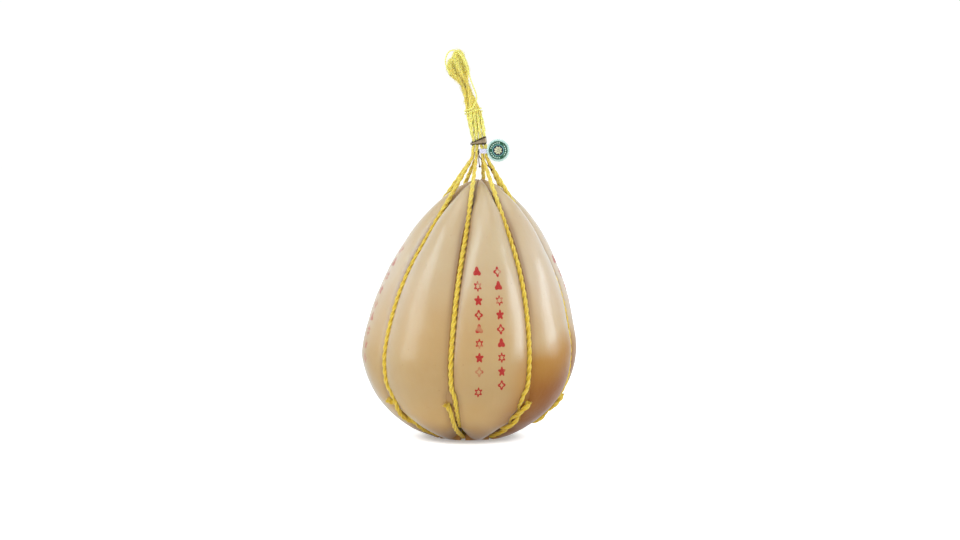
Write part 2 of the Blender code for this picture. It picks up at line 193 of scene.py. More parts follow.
# ---------------------------------------------------------------- shader bench


@dataclass
class Bench:
    """Adds and wires nodes in one shader tree."""

    tree: Tree

    def feed(self, sockets: object, feeds: dict) -> None:
        """Links input sockets, by name or number, to others or gives them a value.

        Args:
            sockets: A node's or a group's inputs.
            feeds: What each one is given.
        """
        for name, value in feeds.items():
            if isinstance(value, Socket):
                self.tree.links.new(value, sockets[name])
            else:
                coloured = sockets[name].type == "RGBA"
                sockets[name].default_value = (*value, 1.0) if coloured else value

    def node(self, kind: str, feeds: dict | None = None, **settings: object) -> bpy.types.Node:
        """Adds a node.

        Args:
            kind: The node's type.
            feeds: Input sockets by name or number, with a value or another socket.
            **settings: The node's own properties.

        Returns:
            The node.
        """
        made = self.tree.nodes.new(kind)
        for name, value in settings.items():
            setattr(made, name, value)
        self.feed(made.inputs, feeds or {})
        return made

    def math(self, operation: str, *terms: object) -> Socket:
        """Sums, quotients and the like of up to three terms."""
        return self.node("ShaderNodeMath", dict(enumerate(terms)), operation=operation).outputs[0]

    def times(self, first: object, *others: object) -> Socket:
        """The product of its terms."""
        for other in others:
            first = self.math("MULTIPLY", first, other)
        return first

    def scaled(self, value: object, factor: object, plus: object) -> Socket:
        """A value times a factor, plus a term."""
        return self.math("MULTIPLY_ADD", value, factor, plus)

    def vector(self, operation: str, feeds: dict) -> Socket:
        """A vector's sum or multiple, or its length."""
        node = self.node("ShaderNodeVectorMath", feeds, operation=operation)
        return node.outputs["Value" if operation == "LENGTH" else "Vector"]

    def parts(self, vector: Socket) -> tuple[Socket, ...]:
        """The three numbers of a vector."""
        return tuple(self.node("ShaderNodeSeparateXYZ", {0: vector}).outputs)

    def joined(self, *numbers: object) -> Socket:
        """A vector from three numbers."""
        return self.node("ShaderNodeCombineXYZ", dict(enumerate(numbers))).outputs[0]

    def cloud(self, vector: object, scale: float, detail: float, rough: float) -> Socket:
        """Soft noise of 0 to 1."""
        feeds = {"Vector": vector, "Scale": scale, "Detail": detail, "Roughness": rough}
        return self.node("ShaderNodeTexNoise", feeds).outputs["Fac"]

    def ramp(self, value: object, low: float, high: float, first: float = 0.0, last: float = 1.0) -> Socket:
        """Eased change from first to last while value goes from low to high."""
        feeds = {0: value, 1: low, 2: high, 3: first, 4: last}
        return self.node("ShaderNodeMapRange", feeds, interpolation_type="SMOOTHSTEP").outputs[0]

    def painted(self, colour: object, *coats: tuple[object, object]) -> Socket:
        """A colour under coats of others, each with its share first.

        Args:
            colour: The colour below.
            *coats: Share and colour of each coat, in order.

        Returns:
            The colour on top.
        """
        for share, coat in coats:
            feeds = {0: share, 6: colour, 7: coat}
            colour = self.node("ShaderNodeMix", feeds, data_type="RGBA").outputs[2]
        return colour

    def group(self, tree: Tree, feeds: dict) -> object:
        """The outputs of a shared effect."""
        return self.node("ShaderNodeGroup", feeds, node_tree=tree).outputs

    def relief(self, *layers: tuple[object, float, float]) -> Socket:
        """A normal from layers, each a height of 0 to 1, its millimetres and its strength.

        Args:
            *layers: The layers, from the first to the last.

        Returns:
            The normal.
        """
        under = {}
        for height, depth, strength in layers:
            feeds = {"Height": height, "Distance": depth * MM, "Strength": strength}
            under = {"Normal": self.node("ShaderNodeBump", feeds | under).outputs["Normal"]}
        return under["Normal"]


def new_group(name: str, takes: Sequence[str], gives: Sequence[str]) -> tuple[Bench, object, object]:
    """Starts an effect that finishes share; every socket but Vector holds a number.

    Args:
        name: The effect's name.
        takes: Its inputs' names.
        gives: Its outputs' names.

    Returns:
        The bench to build it on, its inputs, and the sockets that its outputs are fed by.
    """
    tree = bpy.data.node_groups.new(name, "ShaderNodeTree")
    for way, sockets in (("INPUT", takes), ("OUTPUT", gives)):
        for socket in sockets:
            kind = "NodeSocketVector" if socket == "Vector" else "NodeSocketFloat"
            tree.interface.new_socket(socket, in_out=way, socket_type=kind)
    inside = tree.nodes.new("NodeGroupInput")
    return Bench(tree), inside.outputs, tree.nodes.new("NodeGroupOutput").inputs


class Effects:
    """The shared effects, each built once."""

    def __init__(self) -> None:
        """Builds all of them."""
        self.mottle, self.fibres = self.build_mottle(), self.build_fibres()
        self.scuffs, self.stamp = self.build_scuffs(), self.build_stamp()

    @staticmethod
    def build_mottle() -> Tree:
        """Broad clouds and fine grain on one scale."""
        bench, takes, gives = new_group("mottle", ("Vector", "Scale"), ("Broad", "Fine"))
        place = bench.vector("SCALE", {0: takes["Vector"], "Scale": takes["Scale"]})
        broad, fine = bench.cloud(place, 1.0, 4.0, 0.5), bench.cloud(place, 11.0, 3.0, 0.6)
        bench.feed(gives, {"Broad": bench.ramp(broad, 0.3, 0.7), "Fine": bench.ramp(fine, 0.25, 0.75)})
        return bench.tree

    @staticmethod
    def build_fibres() -> Tree:
        """Long fibres that run along a cord, read from its own map: turns round, metres along."""
        takes = ("Vector", "Around", "Along", "Skew")
        bench, takes, gives = new_group("fibres", takes, ("Fibre", "Tuft"))
        turn, along, _ = bench.parts(takes["Vector"])
        angle = bench.scaled(turn, math.tau, bench.times(along, takes["Skew"]))
        across, beside = (
            bench.times(bench.math(wave, angle), takes["Around"]) for wave in ("COSINE", "SINE")
        )
        place = bench.joined(across, beside, bench.times(along, takes["Along"]))
        fibre, tuft = bench.cloud(place, 1.0, 3.0, 0.7), bench.cloud(place, 0.22, 2.0, 0.5)
        bench.feed(gives, {"Fibre": bench.ramp(fibre, 0.3, 0.7), "Tuft": bench.ramp(tuft, 0.35, 0.65)})
        return bench.tree

    @staticmethod
    def build_scuffs() -> Tree:
        """Thin scratches in broken patches."""
        bench, takes, gives = new_group("scuffs", ("Vector", "Scale"), ("Mask",))
        place = bench.vector("SCALE", {0: takes["Vector"], "Scale": takes["Scale"]})
        drawn = {0: place, "Rotation": (0.3, 0.5, 0.7), "Scale": (1.0, 1.0, 0.06)}
        drawn = bench.node("ShaderNodeMapping", drawn).outputs[0]
        lines = bench.ramp(bench.cloud(drawn, 6.0, 2.0, 0.5), 0.6, 0.68)
        patches = bench.ramp(bench.cloud(place, 0.8, 2.0, 0.5), 0.45, 0.6)
        bench.feed(gives, {"Mask": bench.times(lines, patches)})
        return bench.tree

    @staticmethod
    def build_stamp() -> Tree:
        """A column of inked ornaments: small flowers of three to six petals, some hollow."""
        takes = ("Across", "Down", "Pitch", "Rows", "Seed", "Wobble")
        bench, takes, gives = new_group("stamp column", takes, ("Ink",))
        half_width, half_height = 4.1, 5.1
        row = bench.math("ROUND", bench.math("DIVIDE", takes["Down"], takes["Pitch"]))
        after_first = bench.math("GREATER_THAN", row, -0.5)
        before_last = bench.math("LESS_THAN", row, bench.math("SUBTRACT", takes["Rows"], 0.5))
        lift = bench.math("SUBTRACT", bench.times(row, takes["Pitch"]), takes["Down"])
        up = bench.math("DIVIDE", lift, half_height)
        side = bench.math("DIVIDE", takes["Across"], half_width)
        reach = bench.vector("LENGTH", {0: bench.joined(side, up, 0.0)})
        reach = bench.math("ADD", reach, takes["Wobble"])
        kind = bench.math("FLOORED_MODULO", bench.scaled(row, 3.0, takes["Seed"]), 4.0)
        petals = bench.math("ADD", kind, 3.0)
        wave = bench.math("COSINE", bench.times(bench.math("ARCTAN2", side, up), petals))
        ratio = bench.math("DIVIDE", reach, bench.scaled(wave, 0.2, 0.78))
        hollow = bench.math("FLOORED_MODULO", bench.math("ADD", row, takes["Seed"]), 2.0)
        hole = bench.times(bench.ramp(ratio, 0.52, 0.4), hollow)
        ink = bench.math("SUBTRACT", bench.ramp(ratio, 1.06, 0.94), hole)
        ink = bench.times(ink, after_first, before_last)
        bench.feed(gives, {"Ink": bench.math("MAXIMUM", ink, 0.0)})
        return bench.tree


# ---------------------------------------------------------------- finishes


class Ground(Enum):
    """What a pattern is laid out on."""

    OBJECT = "Object"
    OWN_MAP = "UV"

    def read(self, bench: Bench) -> Socket:
        """The coordinate socket on a bench."""
        return bench.node("ShaderNodeTexCoord").outputs[self.value]


@dataclass(frozen=True)
class Finish:
    """A material; each kind says what goes into the shader's sockets."""

    name: str

    def sockets(self, bench: Bench, effects: Effects) -> dict[str, object]:
        """What each socket is fed, by its name; a plain finish leaves them as they are."""
        return {}

    def build(self, effects: Effects) -> Material:
        """Makes the material.

        Args:
            effects: The shared effects.

        Returns:
            The material.
        """
        made = bpy.data.materials.new(self.name)
        made.use_nodes = True
        bench = Bench(made.node_tree)
        shader = made.node_tree.nodes["Principled BSDF"]
        bench.feed(shader.inputs, self.sockets(bench, effects))
        return made


@dataclass(frozen=True)
class RindFinish(Finish):
    """Waxed ivory rind with stamped red ornaments; painted shade and a painted dark reflection turn one
    flank brown, and painted shade browns the foot.
    """

    name: str = "waxed rind"
    ivory: Colour = paint(193, 162, 110)
    cream: Colour = paint(186, 150, 93)
    tan: Colour = paint(180, 138, 78)
    # Painted light: a paler tint over the upper lobes.
    painted_top_light: Colour = paint(190, 173, 144)
    # Painted sheen: a milky tint for both sides of the rind.
    painted_sheen: Colour = paint(229, 216, 207)
    warm: Colour = paint(216, 172, 102)
    # Painted shade: honey and caramel on one flank, where a dark reflection is painted too, and caramel
    # round the foot.
    honey: Colour = paint(174, 122, 48)
    caramel: Colour = paint(138, 76, 0)
    # Painted shade for the creases beside the twine; the same colour also darkens the pits.
    crease: Colour = paint(119, 69, 16)
    ink: Colour = paint(170, 8, 10)
    map_width: float = 150.0  # millimetres across a lobe's strip of the map
    lobes: int = 8
    # Heights between which each tint comes in, and the least and most of it.
    # Painted light: the heights over which the top turns paler.
    top_light_heights: tuple = (0.11, 0.17, 0.0, 0.32)
    # Painted sheen: the heights over which the sides turn milky.
    sheen_heights: tuple = (0.07, 0.15)
    tanned: tuple = (0.19, 0.12, 0.0, 0.4)
    warmed: tuple = (0.06, 0.018, 0.0, 0.55)
    # Painted shade round the foot: the heights over which it comes in.
    painted_foot_shade: tuple = (0.027, -0.002, 0.0, 0.6)
    # Painted crease shade: the heights where it comes in and where it fades out.
    creased: tuple = (0.1, 0.18, 0.4)
    uncreased: tuple = (0.25, 0.225, 0.3)
    stamp_top: float = 170.0
    stamp_pitch: float = 13.4
    stamp_climb: float = 3.1  # how much higher each lobe is stamped than the one before
    # Each column's place across, its slope, and its first row, rows and pattern.
    stamp_columns: tuple = (
        (-15.5, 0.02, 0.0, 8.0, 0.0), (-15.5, 0.02, 8.5, 1.0, 3.0), (4.2, 0.045, 0.0, 9.0, 1.0),
    )  # fmt: skip

    def sockets(self, bench: Bench, effects: Effects) -> dict[str, object]:
        """What each socket is fed.

        Args:
            bench: The rind's bench.
            effects: The shared effects.

        Returns:
            The feeds by socket.
        """
        place = Ground.OBJECT.read(bench)
        x, y, z = bench.parts(place)
        strip, along, _ = bench.parts(Ground.OWN_MAP.read(bench))
        mottle, grain = (
            bench.group(effects.mottle, {"Vector": place, "Scale": scale}) for scale in (22.0, 260.0)
        )
        # A painted sheen: milky on both sides, stronger towards the top, and faintly everywhere.
        sheen_sides = bench.ramp(bench.math("ABSOLUTE", x), 0.03, 0.085, 0.07, 0.36)
        lines = bench.joined(bench.times(strip, 90.0), bench.times(along, 5.0), 0.0)
        streak = bench.ramp(bench.cloud(lines, 1.0, 3.0, 0.6), 0.35, 0.65)
        pit = bench.node("ShaderNodeTexVoronoi", {"Vector": place, "Scale": 95.0}).outputs["Distance"]
        pit = bench.times(bench.ramp(pit, 0.085, 0.03), bench.ramp(mottle["Fine"], 0.35, 0.8))
        # Painted shade and a painted dark reflection on one flank, and painted shade round the foot.
        gold, brown = self.painted_flank_shade(bench, (x, y, z), mottle["Broad"])
        # Painted shade in the creases beside the twine, strongest on the upper lobes.
        press = bench.node("ShaderNodeAttribute", attribute_name="press").outputs["Fac"]
        faint = bench.ramp(press, 0.02, 0.4, 0.0, 0.5)
        crease_shade = bench.math("MAXIMUM", bench.ramp(press, 0.1, 1.0), faint)
        ink = self.stamped(bench, effects, strip, z, grain["Fine"])
        gloss = bench.scaled(mottle["Fine"], 0.05, bench.scaled(grain["Broad"], 0.08, 0.38))
        # Less coat under the ink, and almost none where the flank's gold painted shade lies, so the
        # highlight ends there.
        coat = bench.scaled(gold, -0.92, bench.scaled(ink, -0.8, 0.95))
        colour = bench.painted(
            self.cream,
            (mottle["Broad"], self.ivory),
            # painted light: the upper lobes paler
            (bench.ramp(z, *self.top_light_heights), self.painted_top_light),
            (bench.times(sheen_sides, bench.ramp(z, *self.sheen_heights)), self.painted_sheen),
            (bench.times(streak, 0.12), self.tan),
            (bench.times(pit, 0.4), self.crease),
            (bench.ramp(z, *self.tanned), self.tan),
            (bench.ramp(z, *self.warmed), self.warm),
            # painted shade on one flank, with a painted dark reflection, and round the foot
            (gold, self.honey),
            (brown, self.caramel),
            (bench.times(crease_shade, bench.ramp(z, *self.creased), bench.ramp(z, *self.uncreased)), self.crease),
            (ink, self.ink),
        )
        relief = bench.relief(
            (bench.times(pit, -1.0), 0.2, 0.7), (streak, 0.07, 0.5), (mottle["Fine"], 0.25, 0.25),
            (grain["Broad"], 0.06, 0.35), (grain["Fine"], 0.02, 0.5),
        )  # fmt: skip
        return {
            "Base Color": colour,
            "Roughness": bench.scaled(ink, 0.18, gloss),
            "Specular IOR Level": 0.3,
            "Coat Weight": bench.math("MAXIMUM", coat, 0.0),
            "Coat Roughness": 0.26,
            "Sheen Weight": 0.5,
            "Sheen Roughness": 0.35,
            "Subsurface Weight": 0.22,
            "Subsurface Radius": (1.0, 0.55, 0.25),
            "Subsurface Scale": 0.006,
            "Normal": relief,
        }

    def painted_flank_shade(self, bench: Bench, place: tuple[Socket, ...], cloud: Socket) -> tuple[Socket, Socket]:
        """Where shade is painted on the rind: one flank under the belly, which also gets a painted dark
        reflection, and round the foot.

        Args:
            bench: The rind's bench.
            place: Across, back and up, in metres.
            cloud: A soft noise that breaks the edges up.

        Returns:
            The shares of gold and of brown.
        """
        x, y, z = place
        angle = bench.math("ARCTAN2", x, bench.times(y, -1.0))
        # From where to where each share grows round the flank, in degrees, and from how much.
        spans = ((33.0, 39.0, 0.0), (8.0, 39.0, 0.0), (17.0, 37.0, 0.0), (36.0, 60.0, 0.72))
        crisp, soft, golden, deep = (
            bench.ramp(angle, math.radians(low), math.radians(high), least) for low, high, least in spans
        )
        start = bench.math("MAXIMUM", crisp, bench.times(soft, bench.ramp(z, 0.07, 0.02)))
        reach = bench.vector("LENGTH", {0: bench.joined(x, y, 0.0)})
        side = bench.times(bench.ramp(angle, 1.9, 1.35), bench.ramp(reach, 0.034, 0.058))
        tilted = bench.scaled(angle, -0.022, bench.scaled(cloud, 0.008, z))
        # gold: painted shade below where the highlight ends; brown: painted shade and a painted dark
        # reflection.
        gold = bench.times(golden, side, bench.ramp(tilted, 0.096, 0.070))
        brown = bench.times(start, deep, side, bench.ramp(tilted, 0.080, 0.036))
        return gold, bench.math("MAXIMUM", brown, bench.ramp(z, *self.painted_foot_shade))

    def stamped(self, bench: Bench, effects: Effects, strip: Socket, z: Socket, grain: Socket) -> Socket:
        """Two columns of ornaments on every other lobe, fainter from lobe to lobe.

        Args:
            bench: The rind's bench.
            effects: The shared effects.
            strip: The map's share of the way round.
            z: Up, in metres.
            grain: Fine noise that eats into the ink.

        Returns:
            The share of ink.
        """
        lobe = bench.times(strip, float(self.lobes))
        number = bench.math("FLOOR", lobe)
        across = bench.times(bench.math("SUBTRACT", bench.math("FRACT", lobe), 0.5), self.map_width)
        top = bench.scaled(number, self.stamp_climb, self.stamp_top - self.stamp_climb)
        down = bench.scaled(z, -1.0 / MM, top)
        wobble = bench.scaled(grain, 0.16, -0.08)
        ink = 0.0
        for start, slope, first, rows, seed in self.stamp_columns:
            feeds = {
                "Across": bench.math("SUBTRACT", across, bench.scaled(down, slope, start)),
                "Down": bench.math("SUBTRACT", down, first * self.stamp_pitch),
                "Pitch": self.stamp_pitch,
                "Rows": rows,
                "Seed": seed,
                "Wobble": wobble,
            }
            ink = bench.math("MAXIMUM", bench.group(effects.stamp, feeds)["Ink"], ink)
        worn = bench.cloud(Ground.OBJECT.read(bench), 75.0, 1.0, 0.55)
        cover = bench.scaled(bench.ramp(grain, 0.1, 0.5), 0.25, bench.scaled(number, -0.05, 0.8))
        chosen = bench.math("FLOORED_MODULO", number, 2.0)
        return bench.times(ink, cover, bench.ramp(worn, 0.36, 0.46, 0.45), chosen)


@dataclass(frozen=True)
class TwineFinish(Finish):
    """Yellow fibrous twine, paler where it hangs free above the clip."""

    name: str = "yellow twine"
    body: Colour = paint(231, 191, 34)
    light: Colour = paint(243, 211, 76)
    deep: Colour = paint(176, 120, 12)
    pale: Colour = paint(255, 244, 130)
    amber: Colour = paint(232, 168, 24)
    plies: int = 3
    around: float = 9.0
    along: float = 160.0
    skew: float = -210.0
    depth: float = 0.22
    # Heights between which each look comes in or fades out, and the least and most of it.
    free: tuple = (0.2, 0.25, 0.0, 0.36)
    hanging: tuple = (0.276, 0.3, 0.0, 0.9)
    gathered: tuple = (0.262, 0.274, 0.0, 0.12)
    ungathered: tuple = (0.292, 0.28)
    core: tuple = (0.318, 0.334, 0.0, 0.4)
    core_end: tuple = (0.374, 0.354)

    def sockets(self, bench: Bench, effects: Effects) -> dict[str, object]:
        """What each socket is fed.

        Args:
            bench: The twine's bench.
            effects: The shared effects.

        Returns:
            The feeds by socket.
        """
        own = Ground.OWN_MAP.read(bench)
        turn, _, _ = bench.parts(own)
        _, _, z = bench.parts(Ground.OBJECT.read(bench))
        feeds = {"Vector": own, "Around": self.around, "Along": self.along, "Skew": self.skew}
        fibres = bench.group(effects.fibres, feeds)
        crest = bench.math("ABSOLUTE", bench.math("SINE", bench.times(turn, math.pi * self.plies)))
        valley = bench.ramp(crest, 0.4, 0.0, 0.0, 0.5)
        shade = bench.scaled(bench.ramp(fibres["Fibre"], 0.5, 0.0), 0.3, valley)
        gathered = bench.times(bench.ramp(z, *self.gathered), bench.ramp(z, *self.ungathered))
        core = bench.times(bench.ramp(z, *self.core), bench.ramp(z, *self.core_end))
        colour = bench.painted(
            self.body,
            (fibres["Tuft"], self.light),
            (bench.ramp(z, *self.free), self.pale),
            (bench.ramp(z, *self.hanging), self.pale),
            (gathered, self.amber),
            (core, self.body),
            (bench.math("MINIMUM", shade, 0.9), self.deep),
        )
        return {
            "Base Color": colour,
            "Roughness": bench.scaled(fibres["Fibre"], -0.15, 0.62),
            "Sheen Weight": 0.2,
            "Subsurface Weight": 0.35,
            "Subsurface Radius": (1.0, 0.8, 0.2),
            "Subsurface Scale": 0.0015,
            "Normal": bench.relief((fibres["Fibre"], self.depth, 0.8)),
        }


@dataclass(frozen=True)
class MetalFinish(Finish):
    """Tarnished metal band, brown at its edges."""

    name: str = "tarnished clip"
    face: Colour = paint(176, 156, 126)
    edge: Colour = paint(58, 44, 20)

    def sockets(self, bench: Bench, effects: Effects) -> dict[str, object]:
        """What each socket is fed.

        Args:
            bench: The metal's bench.
            effects: The shared effects.

        Returns:
            The feeds by socket.
        """
        place = Ground.OBJECT.read(bench)
        _, across, _ = bench.parts(Ground.OWN_MAP.read(bench))
        rim = bench.math("ABSOLUTE", bench.scaled(across, 2.0, -1.0))
        mottle = bench.group(effects.mottle, {"Vector": place, "Scale": 420.0})
        scuffs = bench.group(effects.scuffs, {"Vector": place, "Scale": 500.0})["Mask"]
        # Darker brown towards the band's edges and in broad patches.
        dark_rim = bench.scaled(mottle["Broad"], 0.4, bench.ramp(rim, 0.35, 0.8))
        dark_rim = bench.math("MINIMUM", dark_rim, 1.0)
        return {
            "Base Color": bench.painted(self.face, (dark_rim, self.edge)),
            "Metallic": bench.scaled(dark_rim, -0.25, 0.85),
            "Roughness": bench.scaled(scuffs, 0.2, bench.scaled(mottle["Fine"], 0.15, 0.38)),
            "Normal": bench.relief((mottle["Fine"], 0.05, 0.4), (scuffs, 0.03, 0.4)),
        }


@dataclass(frozen=True)
class PlasticFinish(Finish):
    """Moulded plastic with faint clouding and handling marks."""

    colour: Colour
    shade: Colour
    rough: float = 0.32

    def sockets(self, bench: Bench, effects: Effects) -> dict[str, object]:
        """What each socket is fed.

        Args:
            bench: The plastic's bench.
            effects: The shared effects.

        Returns:
            The feeds by socket.
        """
        place = Ground.OBJECT.read(bench)
        mottle = bench.group(effects.mottle, {"Vector": place, "Scale": 240.0})
        scuffs = bench.group(effects.scuffs, {"Vector": place, "Scale": 380.0})["Mask"]
        return {
            "Base Color": bench.painted(self.colour, (mottle["Broad"], self.shade)),
            "Roughness": bench.scaled(scuffs, 0.25, self.rough),
            "Subsurface Weight": 0.15,
            "Subsurface Radius": (1.0, 1.0, 1.0),
            "Subsurface Scale": 0.001,
            "Normal": bench.relief((mottle["Fine"], 0.02, 0.4)),
        }


@dataclass(frozen=True)
class BadgeFinish(Finish):
    """The seal's printed front: rings of green, mint and teal about a navy middle."""

    middle: Vector
    radius: float
    green: Colour = paint(6, 74, 44)
    mint: Colour = paint(214, 236, 224)
    teal: Colour = paint(120, 178, 176)
    navy: Colour = paint(2, 20, 46)

    def sockets(self, bench: Bench, effects: Effects) -> dict[str, object]:
        """What each socket is fed.

        Args:
            bench: The badge's bench.
            effects: The shared effects.

        Returns:
            The feeds by socket.
        """
        place = Ground.OBJECT.read(bench)
        centred = bench.node("ShaderNodeMapping", {0: place, "Location": -self.middle * MM}).outputs[0]
        x, _, z = bench.parts(centred)
        reach = bench.vector("LENGTH", {0: bench.joined(x, 0.0, z)})
        reach, angle = bench.math("DIVIDE", reach, self.radius * MM), bench.math("ARCTAN2", z, x)
        beats, gaps = (bench.math("COSINE", bench.times(angle, count)) for count in (22.0, 3.0))
        dashes = bench.times(bench.ramp(beats, -0.35, 0.1), bench.ramp(gaps, -0.85, -0.7))
        dashes = bench.times(dashes, self.band(bench, reach, 0.77, 0.87))
        mottle = bench.group(effects.mottle, {"Vector": place, "Scale": 500.0})
        worn = bench.times(mottle["Fine"], 0.05)
        colour = bench.painted(
            self.green,
            (self.band(bench, reach, 0.0, 0.57), self.navy),
            (self.band(bench, reach, 0.585, 0.645), self.teal),
            (dashes, self.mint),
            (worn, self.mint),
        )
        return {
            "Base Color": colour,
            "Roughness": bench.scaled(worn, 2.0, 0.36),
            "Specular IOR Level": 0.25,
            "Normal": bench.relief((dashes, 0.08, 0.6)),
        }

    @staticmethod
    def band(bench: Bench, reach: Socket, low: float, high: float) -> Socket:
        """A ring between two shares of the radius."""
        edges = bench.ramp(reach, low - 0.015, low + 0.015), bench.ramp(reach, high + 0.015, high - 0.015)
        return bench.times(*edges)


@dataclass(frozen=True)
class FloorFinish(Finish):
    """Pale paper that glows to the eye away from the foot, so that it meets the room's white; its dimmer
    glow round the foot is a painted contact shadow.
    """

    name: str = "pale floor"
    # The painted contact shadow's middle lies this far in front of the cheese's.
    painted_shadow_shift: tuple = (0.0, 0.012, 0.0)  # from the glow's middle to the cheese's
    glow: tuple = (0.036, 0.062, 0.25, 0.76)  # from where to where it grows, and from what to what

    def sockets(self, bench: Bench, effects: Effects) -> dict[str, object]:
        """What each socket is fed.

        Args:
            bench: The floor's bench.
            effects: The shared effects, which the floor does without.

        Returns:
            The feeds by socket.
        """
        place = Ground.OBJECT.read(bench)
        shade = bench.ramp(bench.cloud(place, 3.0, 2.0, 0.5), 0.2, 0.8, 0.80, 0.83)
        seen = bench.node("ShaderNodeLightPath").outputs["Is Camera Ray"]
        # The emission drops near the foot: a painted contact shadow.
        reach = bench.vector("LENGTH", {0: bench.vector("ADD", {0: place, 1: self.painted_shadow_shift})})
        return {
            "Base Color": bench.joined(shade, shade, shade),
            "Roughness": 0.9,
            "Emission Color": (1.0, 1.0, 1.0),
            "Emission Strength": bench.times(seen, bench.ramp(reach, *self.glow)),
        }


# ---------------------------------------------------------------- curves of the cheese and net


@dataclass(frozen=True)
class Outline:
    """The outline that the lobes' crowns follow, the lean of the neck and the grooves."""

    foot_r: float = 37.5
    belly_r: float = 108.5
    belly_z: float = 85.2
    peak_z: float = 258.0
    foot_handle: float = 56.6
    foot_angle: float = math.radians(17.2)
    under_belly: float = 22.3
    over_belly: float = 31.0
    peak_handle: float = 78.3
    peak_angle: float = math.radians(14.9)
    lean: float = 10.0
    lean_from: float = 80.0
    lean_power: float = 1.15
    lobes: int = 8
    first_groove: float = math.radians(-55.0)
    # How deep the twine's middle lies below the crowns, against height.
    twine_depth: tuple = (
        (0.0, 8.7), (16.0, 3.6), (40.0, 3.2), (86.0, 8.0),
        (150.0, 7.3), (212.0, 9.5), (238.0, 8.5), (258.0, 1.2),
    )  # fmt: skip

    @property
    def step(self) -> float:
        """The angle from one groove to the next."""
        return math.tau / self.lobes

    def arcs(self) -> tuple[tuple, tuple]:
        """The lower and the upper arc, each as four (r, z) handles."""
        belly = (self.belly_r, self.belly_z)
        run, rise = (self.foot_handle * f(self.foot_angle) for f in (math.cos, math.sin))
        under = (self.belly_r, self.belly_z - self.under_belly)
        over = (self.belly_r, self.belly_z + self.over_belly)
        out, drop = (self.peak_handle * f(self.peak_angle) for f in (math.cos, math.sin))
        lower = ((self.foot_r, 0.0), (self.foot_r + run, rise), under, belly)
        return lower, (belly, over, (out, self.peak_z - drop), (0.0, self.peak_z))

    def crown(self, station: float) -> tuple[float, float, float, float]:
        """A place on the crowns.

        Args:
            station: 0 at the foot, 1 at the belly, 2 at the peak.

        Returns:
            Radius, height and the outward normal's two parts.
        """
        upper = station > 1.0
        arc, share = self.arcs()[upper], station - upper
        rest = 1.0 - share
        weights = (rest**3, 3 * rest**2 * share, 3 * rest * share**2, share**3)
        slopes = (-(rest**2), rest * (rest - 2 * share), share * (2 * rest - share), share**2)
        radius, height = (sum(w * end[i] for w, end in zip(weights, arc)) for i in (0, 1))
        run, rise = (sum(w * end[i] for w, end in zip(slopes, arc)) for i in (0, 1))
        length = math.hypot(run, rise)
        return radius, height, rise / length, -run / length

    def place(self, radius: float, angle: float, height: float, sideways: float = 0.0) -> Vector:
        """A point from its polar place about the leaning axis; angle 0 is the front."""
        share = max(0.0, (height - self.lean_from) / (self.peak_z - self.lean_from))
        x = radius * math.sin(angle) + sideways * math.cos(angle) + self.lean * share**self.lean_power
        return Vector((x, -radius * math.cos(angle) + sideways * math.sin(angle), height))

    def groove_angle(self, groove: int) -> float:
        """The angle of a groove."""
        return self.first_groove + groove * self.step

    def groove(self, station: float) -> tuple[float, float, float, float, float]:
        """Radius and height of the twine's middle in its groove, the normal, the crown's height."""
        radius, height, out_r, out_z = self.crown(station)
        depth = through(self.twine_depth, height)
        return radius - depth * out_r, height - depth * out_z, out_r, out_z, height


@dataclass(frozen=True)
class Strand:
    """Where a strand crosses a groove: below the crowns, sideways, and its radius."""

    depth: float
    sideways: float
    radius: float


